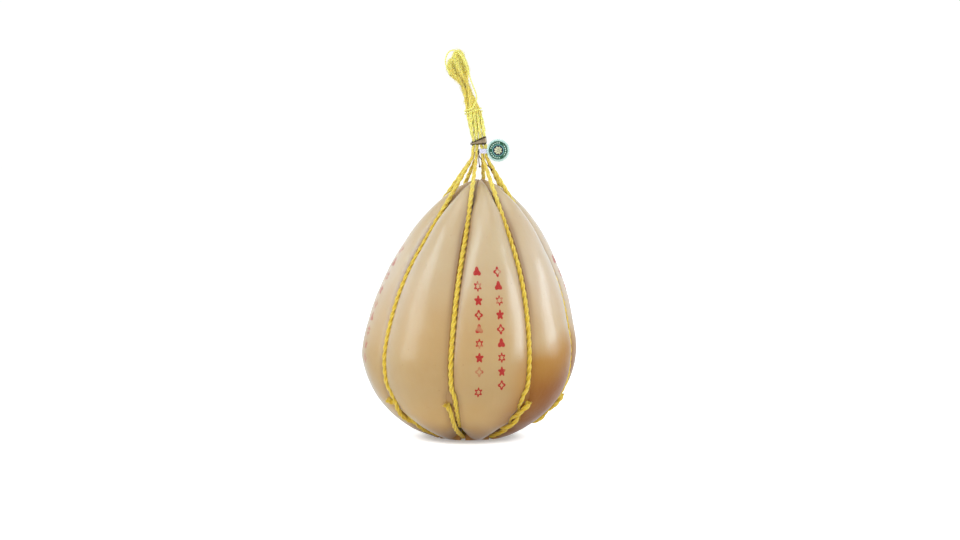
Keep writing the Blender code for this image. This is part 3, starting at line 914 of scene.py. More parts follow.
@dataclass(frozen=True)
class Net:
    """The routes of the four twines, from the ring under the foot to the loops above the clip."""

    outline: Outline = Outline()
    twine_r: float = 2.5
    pair_r: float = 2.3
    pair_spread: float = 3.0
    pair_stacked: float = 0.2
    pair_closed: float = 14.0
    tail_top: float = 43.0
    leg_free: float = 47.0
    leg_alone: float = 58.0
    tail_share: int = 20  # steps of the lower arc in which the tail's end is counted
    tail_slack: float = 0.01  # how far past its end a tail still presses the rind, in stations
    flare_from: float = 0.07  # how far below its end a tail begins to flare, in stations
    flare_out: float = 1.6
    flare_side: float = 0.7
    flare_thick: float = 0.9
    ring_r: float = 27.0
    ring_z: float = 8.2
    turn_r: float = 5.35
    turn_steps: int = 8
    leave_from: float = 1.2  # the stations among which a leg's leaving is looked for
    leave_span: float = 0.7
    leave_tries: int = 400
    free_shares: tuple = (0.25, 0.5, 0.75, 0.9)  # knots of the straight run to the gather
    free_radii: tuple = (2.35, 2.2, 1.85)
    gather_z: float = 279.0
    gather_rises: tuple = (0.0, 4.5, 8.0)
    neck_x: float = 10.0
    group_gap: float = 6.0
    row_pitch: float = 3.6
    clip_r: float = 1.6
    clip_pitch: float = 3.55
    clip_heights: tuple = (290.8, 294.0, 297.5)
    bundle_r: float = 1.9
    bundle_pitch: float = 3.95
    bundle_from: float = 304.0
    bundle_steps: int = 10
    twist_from: float = 299.0
    twist_to: float = 350.0
    bend_from: float = 288.0
    bend: float = 25.0
    bend_h: float = 88.0
    bend_power: float = 1.56
    loop_open: float = 352.0
    loop_opened: float = 366.0
    loop_heights: tuple = (356.0, 360.0, 364.0)
    loop_shoulder: float = 2.0
    loop_steps: int = 8
    loop_r: float = 3.4
    loop_strand_r: float = 2.3
    loop_pitch: float = 4.5
    loop_tops: tuple = (376.0, 381.0, 373.0, 379.0)
    loop_shifts: tuple = (-3.5, 5.2, -5.6, 2.2)
    # Each groove's place in the clip: column 0..3 from -X, row 0 in front or 1 behind.
    clip_places: tuple = ((0, 0), (1, 0), (2, 0), (3, 0), (3, 1), (2, 1), (1, 1), (0, 1))
    # The side on which each tail's cut end shows.
    end_sides: tuple = (-1, -1, 1, 1, -1, 1, -1, 1)
    tail_turns: tuple = (1, 0, 1, 1, 1, 0, 1, 1)  # how often each tail goes round its leg
    lower_steps: int = 60
    upper_steps: int = 44

    def tail_end(self) -> float:
        """The station at which the tails stop."""
        steps = range(self.tail_share)
        laid = [k for k in steps if self.outline.crown(k / self.tail_share)[1] < self.tail_top]
        return laid[-1] / self.tail_share

    def pair_at(self, groove: int, station: float) -> tuple[float, float, float, float]:
        """How a tail is laid round its leg.

        Args:
            groove: The groove's number.
            station: The place along it.

        Returns:
            The tail's reach outwards and sideways from the pair's middle, the leg's share of
            being alone, and the strands' radius.
        """
        level = self.outline.crown(station)[1]
        spread = self.turn_r + (self.pair_spread - self.turn_r) * eased(0.0, self.pair_closed, level)
        share = min(1.0, station / self.tail_end())
        turned = max(0.0, (share - self.pair_stacked) / (1.0 - self.pair_stacked))
        angle = (math.tau * self.tail_turns[groove] + self.end_sides[groove] * math.pi / 2) * turned
        alone = eased(self.leg_free, self.leg_alone, level)
        thick = self.pair_r + (self.twine_r - self.pair_r) * alone
        return spread * math.cos(angle), spread * math.sin(angle), alone, thick

    def strands(self, groove: int, station: float) -> list[Strand]:
        """The strands that press into the cheese at a station of a groove.

        Args:
            groove: The groove's number.
            station: The place along it.

        Returns:
            The leg, and the tail where one lies.
        """
        depth = through(self.outline.twine_depth, self.outline.crown(station)[1])
        if station >= 1.0:
            return [Strand(depth, 0.0, self.twine_r)]
        out, side, alone, thick = self.pair_at(groove, station)
        leg = Strand(depth + out * (1.0 - alone), -side * (1.0 - alone), thick)
        if station > self.tail_end() + self.tail_slack:
            return [leg]
        return [leg, Strand(depth - out, side, thick)]

    def lower_part(self, groove: int) -> tuple[list[Knot], list[Knot]]:
        """The leg from the ring to the belly, and the tail laid round it, both upwards.

        Args:
            groove: The groove's number.

        Returns:
            The leg's knots and the tail's.
        """
        place, angle = self.outline.place, self.outline.groove_angle(groove)
        leg, tail = [], []
        for k in range(self.turn_steps):
            turn = math.pi / 2 * (k + 0.5) / self.turn_steps
            radius, rise = self.ring_r - self.turn_r * math.cos(turn), self.turn_r * math.sin(turn)
            for strand, up in ((leg, rise), (tail, -rise)):
                strand.append((place(radius, angle, self.ring_z + up), self.pair_r))
        end = self.tail_end()
        for index in range(self.lower_steps):
            station = index / self.lower_steps
            radius, height, out_r, out_z, _ = self.outline.groove(station)
            out, side, alone, thick = self.pair_at(groove, station)
            near = 1.0 - alone
            for strand, sign in ((leg, -1.0), (tail, 1.0)):
                if strand is tail and station > end:
                    continue
                flare = eased(end - self.flare_from, end, station) if strand is tail else 0.0
                reach_out = sign * out * near + flare * self.flare_out
                reach_side = sign * side * near * (1.0 + self.flare_side * flare)
                r, z = radius + reach_out * out_r, height + reach_out * out_z
                strand.append((place(r, angle, z, reach_side), thick + self.flare_thick * flare))
        return leg, tail

    def leave(self, groove: int) -> float:
        """The station at which a taut twine leaves its groove for the gather.

        Args:
            groove: The groove's number.

        Returns:
            The station.
        """
        gather = self.above(groove)[0][0]
        angle = self.outline.groove_angle(groove)
        reach = (gather.x - self.neck_x) * math.sin(angle) - gather.y * math.cos(angle)
        count = self.leave_tries
        tries = [self.leave_from + self.leave_span * k / count for k in range(count)]

        def lie(station: float) -> float:
            """How flat the straight run from a station to the gather would lie."""
            radius, height = self.outline.groove(station)[:2]
            return (radius - reach) / (self.gather_z - height)

        return max(tries, key=lie)

    def upper_part(self, groove: int) -> list[Knot]:
        """The leg from the belly to the gather, in the groove and then straight through air.

        Args:
            groove: The groove's number.

        Returns:
            Its knots, upwards.
        """
        angle, leave = self.outline.groove_angle(groove), self.leave(groove)
        stations = [1.0 + k / self.upper_steps for k in range(self.upper_steps)]
        lying = [self.outline.groove(s)[:2] for s in (*(s for s in stations if s < leave), leave)]
        points = [self.outline.place(radius, angle, height) for radius, height in lying]
        gather = self.above(groove)[0][0]
        points += [points[-1].lerp(gather, share) for share in self.free_shares]
        thick = [self.twine_r] * (len(points) - len(self.free_radii))
        return list(zip(points, [*thick, *self.free_radii]))

    def middle(self, height: float) -> Vector:
        """The middle of the bundle above the gather."""
        bend = self.bend * max(0.0, (height - self.bend_from) / self.bend_h) ** self.bend_power
        return Vector((self.neck_x - bend, 0.0, height))

    def across_bundle(self, height: float, across: float, depth: float) -> Vector:
        """A point of the bundle's cross-section at a height of its middle.

        Args:
            height: The height of the middle.
            across: Sideways from the middle.
            depth: Backwards from the middle.

        Returns:
            The point.
        """
        along = (self.middle(height + 0.5) - self.middle(height - 0.5)).normalized()
        side = Vector((0.0, 1.0, 0.0)).cross(along).normalized()
        return self.middle(height) + side * across + Vector((0.0, depth, 0.0))

    def twisted(self, across: float, depth: float, height: float) -> tuple[float, float]:
        """Turns a place in the four by two pattern with the bundle's quarter twist.

        Args:
            across: Sideways, untwisted.
            depth: Backwards, untwisted.
            height: Where in the bundle.

        Returns:
            Across and depth.
        """
        angle = math.pi / 2 * eased(self.twist_from, self.twist_to, height)
        turned = across * math.cos(angle) - depth * math.sin(angle)
        return turned, across * math.sin(angle) + depth * math.cos(angle)

    def above(self, groove: int) -> list[Knot]:
        """One strand from the gather to the start of its loop.

        Args:
            groove: The groove that the strand comes from.

        Returns:
            Its knots, upwards.
        """
        column, row = self.clip_places[groove]
        step, side = column - 1.5, row - 0.5
        apart = (self.group_gap - self.row_pitch) / 2 * math.copysign(1.0, step)
        knots = []
        for rise in self.gather_rises:
            x = self.neck_x + step * self.row_pitch + apart
            point = Vector((x, side * self.row_pitch, self.gather_z + rise))
            knots.append((point, self.clip_r + 0.1))
        for height in self.clip_heights:
            point = self.across_bundle(height, step * self.clip_pitch, side * self.clip_pitch)
            knots.append((point, self.clip_r))
        for k in range(self.bundle_steps + 1):
            height = self.bundle_from + (self.loop_open - self.bundle_from) * k / self.bundle_steps
            place = self.twisted(step * self.bundle_pitch, side * self.bundle_pitch, height)
            knots.append((self.across_bundle(height, *place), self.bundle_r))
        return knots

    def loop(self, column: int) -> list[Knot]:
        """The loop that joins a front strand to the one behind it.

        Args:
            column: The twine's column in the clip.

        Returns:
            Its knots, from the front strand.
        """
        top, shift = self.loop_tops[column], self.loop_shifts[column]
        depth, half = (column - 1.5) * self.loop_pitch, self.bundle_pitch / 2
        legs = []
        for sign in (1.0, -1.0):
            leg = []
            for height in (*self.loop_heights, top - self.loop_r - self.loop_shoulder):
                opened = eased(self.loop_open, self.loop_opened, height)
                across = shift * opened + sign * (half + (self.loop_r - half) * opened)
                leg.append((self.across_bundle(height, across, depth), self.loop_strand_r))
            legs.append(leg)
        turn = []
        for k in range(self.loop_steps + 1):
            angle = math.pi * k / self.loop_steps
            height = top - self.loop_r + self.loop_r * math.sin(angle)
            across = shift + self.loop_r * math.cos(angle)
            turn.append((self.across_bundle(height, across, depth), self.loop_strand_r))
        return legs[0] + turn + legs[1][::-1]

    def half(self, groove: int) -> list[Knot]:
        """One half of a twine, from its cut tail, round the ring and up to its loop."""
        leg, tail = self.lower_part(groove)
        return tail[::-1] + leg + self.upper_part(groove) + self.above(groove)

    def twine(self, column: int) -> list[Knot]:
        """A whole twine, from one cut end to the other."""
        front, back = (self.clip_places.index((column, row)) for row in (0, 1))
        return self.half(front) + self.loop(column) + self.half(back)[::-1]


# ---------------------------------------------------------------- cords


class Route:
    """A smooth line with even steps and a frame that doesn't spin at each of its points."""

    def __init__(self, knots: Sequence[Knot], step: float, passes: int = 3) -> None:
        """Walks the knots in even steps and relaxes the corners.

        Args:
            knots: Points with radii.
            step: Distance between the route's points.
            passes: How often the corners are relaxed.
        """
        self.step = step
        self.points, self.radii = self.walked(knots, step)
        for _ in range(passes):
            inner = zip(self.points, self.points[1:], self.points[2:])
            eased_points = [a * 0.25 + b * 0.5 + c * 0.25 for a, b, c in inner]
            self.points = [self.points[0], *eased_points, self.points[-1]]
        befores, afters = [self.points[0], *self.points[:-1]], [*self.points[1:], self.points[-1]]
        self.tangents = [(after - before).normalized() for before, after in zip(befores, afters)]
        normal = self.tangents[0].orthogonal().normalized()
        self.normals = []
        for tangent in self.tangents:
            normal = (normal - tangent * normal.dot(tangent)).normalized()
            self.normals.append(normal)

    @staticmethod
    def walked(knots: Sequence[Knot], step: float) -> tuple[list[Vector], list[float]]:
        """Points and radii at even distances along straight runs between knots.

        Args:
            knots: Points with radii.
            step: The distance between points.

        Returns:
            The points and their radii.
        """
        points, radii, wait = [knots[0][0].copy()], [knots[0][1]], step
        for (start, first), (stop, last) in zip(knots, knots[1:]):
            length = (stop - start).length
            while wait <= length and length > 0.0:
                points.append(start.lerp(stop, wait / length))
                radii.append(first + (last - first) * wait / length)
                wait += step
            wait -= length
        return points, radii

    @property
    def length(self) -> float:
        """The route's length."""
        return sum((b - a).length for a, b in zip(self.points, self.points[1:]))

    def around(self, index: int, angle: float, reach: float) -> Vector:
        """A point off the route, at an angle and a distance from it.

        Args:
            index: Which of the route's points.
            angle: Round the route.
            reach: Off the route.

        Returns:
            The point.
        """
        normal = self.normals[index]
        side = self.tangents[index].cross(normal)
        return self.points[index] + (normal * math.cos(angle) + side * math.sin(angle)) * reach


@dataclass(frozen=True)
class Fibre:
    """A loose fibre: its points and its radius at the root."""

    points: tuple[Vector, ...]
    radius: float


@dataclass(frozen=True)
class Lay:
    """How a cord is laid up."""

    plies: int = 3
    pitch: float = 24.0
    columns: int = 24
    step: float = 1.15
    valley: float = 0.72
    fuzz: float = 0.035  # unevenness, as a share of the radius
    hair_r: float = 0.12
    hair_root: float = 0.15  # how far along its taper a loose fibre begins
    hair_map: float = 0.3  # how much of its map's height a loose fibre takes
    hair_points: int = 6

    def reach(self, turn: float) -> float:
        """The outline of the plies, as a share of the cord's radius, at a share of a turn.

        Args:
            turn: The share of a turn.

        Returns:
            The share of the radius.
        """
        off = (turn * self.plies % 1.0 - 0.5) * math.tau / self.plies
        ply = 1.0 / (1.0 + 1.0 / math.sin(math.pi / self.plies))
        centre = 1.0 - ply
        inside = ply**2 - (centre * math.sin(off)) ** 2
        return max(self.valley, centre * math.cos(off) + math.sqrt(max(0.0, inside)))

    def cord(self, bm: Mesh, route: Route) -> None:
        """Adds the laid cord along a route, closed at both ends, with its own map.

        Args:
            bm: The mesh to add to.
            route: The line it follows.
        """
        layer = bm.loops.layers.uv.verify()
        last = len(route.points) - 1
        shape = [self.reach(column / self.columns) for column in range(self.columns)]

        def place(column: int, row: int) -> Vector:
            """A point of the cord; the first and last rows close its ends."""
            index = min(last, max(0, row - 1))
            if row in (0, last + 2):
                return route.points[index]
            turn = column / self.columns
            angle = math.tau * (turn + index * route.step / self.pitch)
            uneven = noise.noise(Vector((turn * 9.0, index * 0.31, route.points[0].x)))
            reach = route.radii[index] * shape[column] * (1.0 + self.fuzz * uneven)
            return route.around(index, angle, reach)

        faces = rolled_grid(bm, self.columns, last + 3, place)
        self.map_metres(faces, layer, last + 2, route.step)

    @staticmethod
    def map_metres(faces: list, layer: object, rows: int, step: float) -> None:
        """Turns the grid's map into turns round and metres along.

        Args:
            faces: The cord's faces.
            layer: Their map.
            rows: Steps along the cord.
            step: A step's length.
        """
        for face in faces:
            for loop in face.loops:
                loop[layer].uv.y *= rows * step * MM

    def hairs(self, bm: Mesh, fibres: Sequence[Fibre]) -> None:
        """Adds loose fibres, three-sided and tapered to both ends.

        Args:
            bm: The mesh to add to.
            fibres: The fibres, all with the same number of points.
        """
        layer = bm.loops.layers.uv.verify()
        rings = len(fibres[0].points)

        def place(column: int, row: int) -> Vector:
            """A point of a fibre."""
            fibre, ring = fibres[row // rings], row % rings
            along = fibre.points[min(rings - 1, ring + 1)] - fibre.points[max(0, ring - 1)]
            normal = along.orthogonal().normalized()
            side = along.normalized().cross(normal)
            share = self.hair_root + (1.0 - self.hair_root) * ring / (rings - 1)
            taper = 0.0 if ring in (0, rings - 1) else fibre.radius * math.sin(math.pi * share)
            angle = math.tau * column / 3
            return fibre.points[ring] + (normal * math.cos(angle) + side * math.sin(angle)) * taper

        for face in rolled_grid(bm, 3, rings * len(fibres), place, group=rings):
            for loop in face.loops:
                loop[layer].uv = (0.5 / self.plies, loop[layer].uv.y * self.hair_map)


@dataclass
class TwineNet:
    """The four twines with their loose fibres and frayed ends, and the ring under the foot."""

    net: Net
    lay: Lay = Lay()
    stray_per_twine: int = 300
    stray_lift: tuple = (0.4, 2.2)
    stray_run: tuple = (4.0, 11.0)
    head_strays: int = 380
    head_lift: tuple = (0.6, 3.8)
    head_z: float = 338.0
    cut_fibres: int = 90
    cut_length: tuple = (2.6, 6.0)
    cut_curl: tuple = (-0.1, 0.22)
    cut_spread: float = 0.26
    root: float = 0.8  # how far out a fibre starts, as a share of the cord's radius
    floor_gap: float = 0.3
    ring_rows: int = 144
    seed: int = 5

    def stray(self, route: Route, index: int, rng: random.Random, lift: float) -> Fibre:
        """A fibre that leaves the cord's side and lies along it.

        Args:
            route: The cord's route.
            index: Where it leaves.
            rng: Chance.
            lift: How far its free end stands off.

        Returns:
            The fibre.
        """
        angle, way = rng.uniform(0.0, math.tau), rng.choice((-1, 1))
        run, lean = rng.uniform(*self.stray_run), rng.uniform(-1.2, 1.2)
        points, count = [], self.lay.hair_points
        for k in range(count):
            share = k / (count - 1)
            at = min(len(route.points) - 1, max(0, round(index + way * run * share / route.step)))
            reach = route.radii[at] * self.root + lift * share**1.6 * rng.uniform(0.85, 1.15)
            point = route.around(at, angle + lean * share, reach)
            # Under the foot a fibre stays off the floor, and rises a little so that no two points meet.
            points.append(Vector((point.x, point.y, max(point.z, self.floor_gap) + 1e-3 * k)))
        return Fibre(tuple(points), self.lay.hair_r * rng.uniform(0.7, 1.2))

    def frayed(self, tip: Vector, out: Vector, radius: float, rng: random.Random) -> list[Fibre]:
        """The brush of fibres at a cut end.

        Args:
            tip: The end's middle.
            out: The direction in which the cord ends.
            radius: The cord's radius there.
            rng: Chance.

        Returns:
            The fibres.
        """
        fibres, count = [], self.lay.hair_points
        shares = [k / (count - 1) for k in range(count)]
        for _ in range(self.cut_fibres):
            spread = Vector([rng.gauss(0.0, 1.0) for _ in range(3)])
            spread -= out * spread.dot(out)
            root = tip + spread.normalized() * radius * self.root * math.sqrt(rng.random())
            length, curl = rng.uniform(*self.cut_length), rng.uniform(*self.cut_curl)
            aim = (out + spread * self.cut_spread).normalized()
            points = (
                root + aim * length * (share - 0.35) + spread * curl * length * share**2 * 0.5
                for share in shares
            )
            fibres.append(Fibre(tuple(points), self.lay.hair_r * rng.uniform(1.6, 2.6)))
        return fibres

    def build_twine(self, column: int, material: Material) -> None:
        """Makes one twine.

        Args:
            column: Its column in the clip.
            material: Its finish.
        """
        rng = random.Random(self.seed + column)
        route = Route(self.net.twine(column), self.lay.step)
        bm = bmesh.new()
        self.lay.cord(bm, route)
        count = len(route.points)
        head = [i for i, point in enumerate(route.points) if point.z > self.head_z]
        strays = []
        for number, roots, lift in (
            (self.stray_per_twine, range(count), self.stray_lift),
            (self.head_strays, head, self.head_lift),
        ):
            for _ in range(number):
                strays.append(self.stray(route, rng.choice(roots), rng, rng.uniform(*lift)))
        for index, out in ((0, -route.tangents[0]), (count - 1, route.tangents[-1])):
            strays += self.frayed(route.points[index], out, route.radii[index], rng)
        self.lay.hairs(bm, strays)
        LOG.info("twine %d is %.0f mm long", column + 1, route.length)
        settle(finished(f"net_twine_{column + 1}", bm, material), "twine", f"twine_{column + 1}")

    def build_ring(self, material: Material) -> None:
        """Makes the ring under the foot, which every twine turns round.

        Args:
            material: Its finish.
        """
        rows, columns = self.ring_rows, self.lay.columns
        around = math.tau * self.net.ring_r
        turns = round(around / self.lay.pitch)

        def place(column: int, row: int) -> Vector:
            """A point of the ring."""
            way = math.tau * (row % rows) / rows
            angle = math.tau * (column / columns + turns * row / rows)
            reach = self.net.twine_r * self.lay.reach(column / columns)
            radius = self.net.ring_r + reach * math.cos(angle)
            return self.net.outline.place(radius, way, self.net.ring_z + reach * math.sin(angle))

        bm = bmesh.new()
        layer = bm.loops.layers.uv.verify()
        faces = rolled_grid(bm, columns, rows + 1, place)
        self.lay.map_metres(faces, layer, rows, around / rows)
        settle(finished("net_foot_ring", bm, material), "twine", "foot_ring")

    def build(self, material: Material) -> None:
        """Makes the whole net.

        Args:
            material: Its finish.
        """
        for column in range(len(self.net.loop_tops)):
            self.build_twine(column, material)
        self.build_ring(material)


@dataclass
class Binding:
    """The thin string: turns round the bundle, then a slack loop over its top."""

    net: Net
    lay: Lay = Lay(plies=2, pitch=5.0, columns=12, step=0.6, valley=0.55, hair_r=0.06)
    radius: float = 0.8
    low: float = 322.0
    rise: float = 5.6
    turns: int = 2
    room: float = 0.25
    # Height of the bundle's middle, across it, and depth.
    slack: tuple = (
        (336.0, 7.2, -6.8), (352.0, 7.2, -9.6), (370.0, 8.6, -11.2), (382.0, 4.6, -11.4),
        (383.0, -3.0, -11.4), (376.0, -9.4, -11.4), (364.0, -10.2, -10.6),
    )  # fmt: skip

    def knots(self) -> list[Vector]:
        """The string's line."""
        net = self.net
        half = 1.5 * net.bundle_pitch, 0.5 * net.bundle_pitch
        corner_r = net.bundle_r + self.radius + self.room
        points, corners = [], 4 * self.turns
        for corner in range(corners):
            for share in (0.0, 0.25, 0.5, 0.75, 0.999):
                turn = corner + share
                height = self.low + self.rise * turn / corners
                place = net.twisted(*corner_place(*half, corner_r, turn), height)
                points.append(net.across_bundle(height, *place))
        slack = [points[-1], *(net.across_bundle(*place) for place in self.slack)]
        return points + smoothed(slack, 8)[1:]

    def build(self, material: Material) -> None:
        """Makes the string.

        Args:
            material: Its finish.
        """
        route = Route([(point, self.radius) for point in self.knots()], self.lay.step, 2)
        bm = bmesh.new()
        self.lay.cord(bm, route)
        LOG.info("the string is %.0f mm long", route.length)
        settle(finished("binding_string", bm, material), "string", "string")


def corner_place(half_x: float, half_y: float, corner_r: float, turn: float) -> tuple[float, float]:
    """A point on a box outline with round corners.

    Args:
        half_x: Half the box's width, to the corners' middles.
        half_y: Half its depth.
        corner_r: The corners' radius.
        turn: Counts corners, from the front right.

    Returns:
        Across and depth.
    """
    corner, share = int(turn // 1) % 4, turn % 1
    sign_x, sign_y = ((1, -1), (1, 1), (-1, 1), (-1, -1))[corner]
    angle = math.pi / 2 * (corner - 1 + share)
    return sign_x * half_x + corner_r * math.cos(angle), sign_y * half_y + corner_r * math.sin(angle)


def smoothed(knots: Sequence[Vector], steps: int) -> list[Vector]:
    """Points of a smooth curve through knots, with so many steps between each two.

    Args:
        knots: The points to go through.
        steps: Steps between each two.

    Returns:
        The points.
    """
    ends = [knots[0] * 2 - knots[1], *knots, knots[-1] * 2 - knots[-2]]
    points = []
    for before, start, stop, after in zip(ends, ends[1:], ends[2:], ends[3:]):
        for k in range(steps):
            t = k / steps
            curl = before * 2 - start * 5 + stop * 4 - after
            swing = start * 3 - before - stop * 3 + after
            points.append((start * 2 + (stop - before) * t + curl * t**2 + swing * t**3) / 2)
    return [*points, knots[-1]]


# ---------------------------------------------------------------- cheese


@dataclass
class CheeseBody:
    """The lobed body with the imprint of its net."""

    net: Net
    channel: tuple = (0.0, 0.4, 0.72, 0.92, 1.0)  # shares of the channel's half width
    lobe_cells: int = 27
    lower_rings: int = 84
    upper_rings: int = 124
    roundness: float = 0.75
    room: float = 0.12
    # The tunnels under the foot: their roof's height and bow, and the radius where they begin.
    roof: float = 16.15
    arch: float = 2.4
    tunnels_from: float = 18.2
    # The rim over the tunnels: how fast it widens upwards, and up to which station.
    rim_slope: float = 20.0
    rim_until: float = 0.2
    widest: float = 0.42  # the most that a half channel takes of a lobe
    beside: float = 2.6  # how far from a twine its crease reaches
    closing_span: float = 0.12  # the stations in which a groove closes above its twine
    closed: float = 0.7
    calm_foot: tuple = (1.0, 14.0)
    calm_peak: tuple = (258.0, 246.0)
    ragged_from: tuple = (120.0, 170.0)
    # Rings of the underside: radius and height, from the middle outwards.
    underside: tuple = (
        (0.0, 0.0), (9.0, 0.0), (16.4, 0.0), (17.5, 0.3), (18.1, 1.3), (18.4, 5.0), (18.6, 9.6),
        (19.0, 10.9), (20.2, 11.5), (25.0, 11.5), (29.2, 11.5), (30.3, 10.8), (30.6, 9.0),
        (30.8, 4.0), (31.1, 1.0), (31.9, 0.2), (33.2, 0.0), (35.6, 0.0),
    )  # fmt: skip

    @property
    def per_lobe(self) -> int:
        """Cells across a lobe and its two half channels."""
        return 2 * (len(self.channel) - 1) + self.lobe_cells

    @cached_property
    def leaves(self) -> list[float]:
        """The station at which each groove's twine leaves it."""
        return [self.net.leave(groove) for groove in range(self.net.outline.lobes)]

    def half_width(self, groove: int, station: float) -> float:
        """Half the width of a groove's channel.

        Args:
            groove: The groove's number.
            station: The place along it.

        Returns:
            The half width.
        """
        width = 0.0
        for place in (station, max(0.0, station - 0.02)):
            strands = self.net.strands(groove, place)
            width += max(abs(s.sideways) + s.radius for s in strands) + self.room
        return width / 2 * (1.0 - self.closed * self.closing(groove, station))

    def closing(self, groove: int, station: float) -> float:
        """How far a groove has closed after its twine has left it."""
        return eased(self.leaves[groove], self.leaves[groove] + self.closing_span, station)

    def imprint(self, groove: int, station: float, sideways: float) -> float:
        """Depth below the crowns that the strands press the rind to, or 0 beside them.

        Args:
            groove: The groove's number.
            station: The place along it.
            sideways: The distance from the groove's middle line.

        Returns:
            The depth.
        """
        share = 1.0 - self.closed * self.closing(groove, station)
        depth = 0.0
        for strand in self.net.strands(groove, station):
            radius = (strand.radius + self.room) * share
            off = radius**2 - (sideways - strand.sideways) ** 2
            if off > 0.0:
                depth = max(depth, strand.depth + math.sqrt(off))
        return depth

    def across(self, column: int) -> tuple[int, float, float]:
        """A column's place in its lobe.

        Args:
            column: Counted from the lobe's first groove.

        Returns:
            Which groove it belongs to (0 or 1), its share of that channel's half width, and its
            share of the lobe between the channels.
        """
        side = len(self.channel) - 1
        if column <= side:
            return 0, self.channel[column], 0.0
        if column >= side + self.lobe_cells:
            return 1, -self.channel[self.per_lobe - column], 1.0
        share = (1.0 - math.cos(math.pi * (column - side) / self.lobe_cells)) / 2.0
        return (0, 1.0, share) if share < 0.5 else (1, -1.0, share)

    def point(
        self, lobe: int, column: int, station: float, widths: list[float], under: tuple | None
    ) -> tuple[Vector, float, float]:
        """One point of the body.

        Args:
            lobe: The lobe's number.
            column: The column within it.
            station: The place along the crowns.
            widths: The channels' half widths there.
            under: Radius and height on the underside, where the point is on it.

        Returns:
            The point, its arc from the lobe's middle line, and how hard it is pressed, which the rind reads
            for its painted crease shade.
        """
        outline = self.net.outline
        far, channel, share = self.across(column)
        groove = (lobe + far) % outline.lobes
        crown_r, crown_z, out_r, out_z = outline.crown(station)
        radius, height = under or (crown_r, crown_z)
        shares = (widths[(lobe + k) % outline.lobes] / max(radius, 0.01) for k in (0, 1))
        edges = [min(math.asin(min(0.95, s)), self.widest * outline.step) for s in shares]
        width = edges[far] * radius
        if share in (0.0, 1.0):
            off = channel * edges[far]
            angle = outline.groove_angle(lobe + far) + off
        else:
            span = outline.step - edges[0] - edges[1]
            angle = outline.groove_angle(lobe) + edges[0] + share * span
            off = angle - outline.groove_angle(lobe + far)
        sideways = radius * math.sin(off)
        arc = radius * (angle - outline.groove_angle(lobe) - outline.step / 2)
        in_channel = share in (0.0, 1.0) and abs(channel) < 0.999
        if under:
            if in_channel and radius > self.tunnels_from:
                bow = math.sqrt(max(0.0, 1.0 - channel**2))
                height = max(height, self.roof - self.arch + self.arch * bow)
            return outline.place(radius, angle, height), arc, 0.0
        middle = through(outline.twine_depth, crown_z)
        lobed = middle * (1.0 - math.sin(math.pi * share) ** self.roundness)
        depth = max(lobed, self.imprint(groove, station, sideways))
        if station <= 0.0 and not in_channel:
            depth = 0.0
        near = math.exp(-max(0.0, abs(sideways) - width) / self.beside)
        depth -= self.unevenness(outline.place(radius, angle, height), near, crown_z)
        at_rim = in_channel and station < self.rim_until
        least = self.underside[-1][0] + 0.1 + self.rim_slope * station if at_rim else 0.0
        radius, height = max(least, radius - depth * out_r), height - depth * out_z
        return outline.place(radius, angle, height), arc, near

    def unevenness(self, place: Vector, near: float, height: float) -> float:
        """How far the rind stands proud of a perfect shape; nothing beside the twine or the foot.

        Args:
            place: The point of the perfect shape.
            near: How near the twine is, from 0 to 1.
            height: The height on the crowns.

        Returns:
            The distance outwards.
        """
        calm = eased(*self.calm_foot, height) * eased(*self.calm_peak, height)
        broad = 0.75 * noise.noise(place / 34.0) + 0.22 * noise.noise(place / 12.0 + Vector((9, 2, 4)))
        ragged = 0.5 * noise.noise(place / 3.2) * eased(*self.ragged_from, height)
        return calm * ((1.0 - near) ** 2 * broad + near * (1.0 - near) * 2.0 * ragged)

    def build(self, material: Material) -> None:
        """Makes the body.

        Args:
            material: The rind.
        """
        lobes = self.net.outline.lobes
        stations = [k / self.lower_rings for k in range(self.lower_rings)]
        stations += [1.0 + k / self.upper_rings for k in range(self.upper_rings + 1)]
        rows = [(0.0, ring) for ring in self.underside] + [(station, None) for station in stations]
        columns = lobes * self.per_lobe
        places = []
        for station, under in rows:
            widths = [self.half_width(groove, station) for groove in range(lobes)]
            cells = (divmod(column, self.per_lobe) for column in range(columns))
            places.append([self.point(*cell, station, widths, under) for cell in cells])
        bm = bmesh.new()
        layer, press = bm.loops.layers.uv.verify(), bm.verts.layers.float.new("press")
        faces = rolled_grid(bm, columns, len(rows), lambda column, row: places[row][column][0])
        # How near the twine each point is, which the rind reads for its painted crease shade.
        for index, vert in enumerate(bm.verts):
            row, column = divmod(index, columns + 1)
            vert[press] = places[row][column % columns][2]
        for index, face in enumerate(faces):
            lobe = index % columns // self.per_lobe
            for loop in face.loops:
                row, column = divmod(loop.vert.index, columns + 1)
                arc = places[row][column % columns][1]
                arc = abs(arc) if column == (lobe + 1) * self.per_lobe else arc
                across = 0.5 + arc / RindFinish.map_width
                loop[layer].uv = ((lobe + across) / lobes, row / len(rows))
        settle(finished("cheese_body", bm, material, sharp=75.0), "rind", "cheese")


# ---------------------------------------------------------------- clip, strap and seal


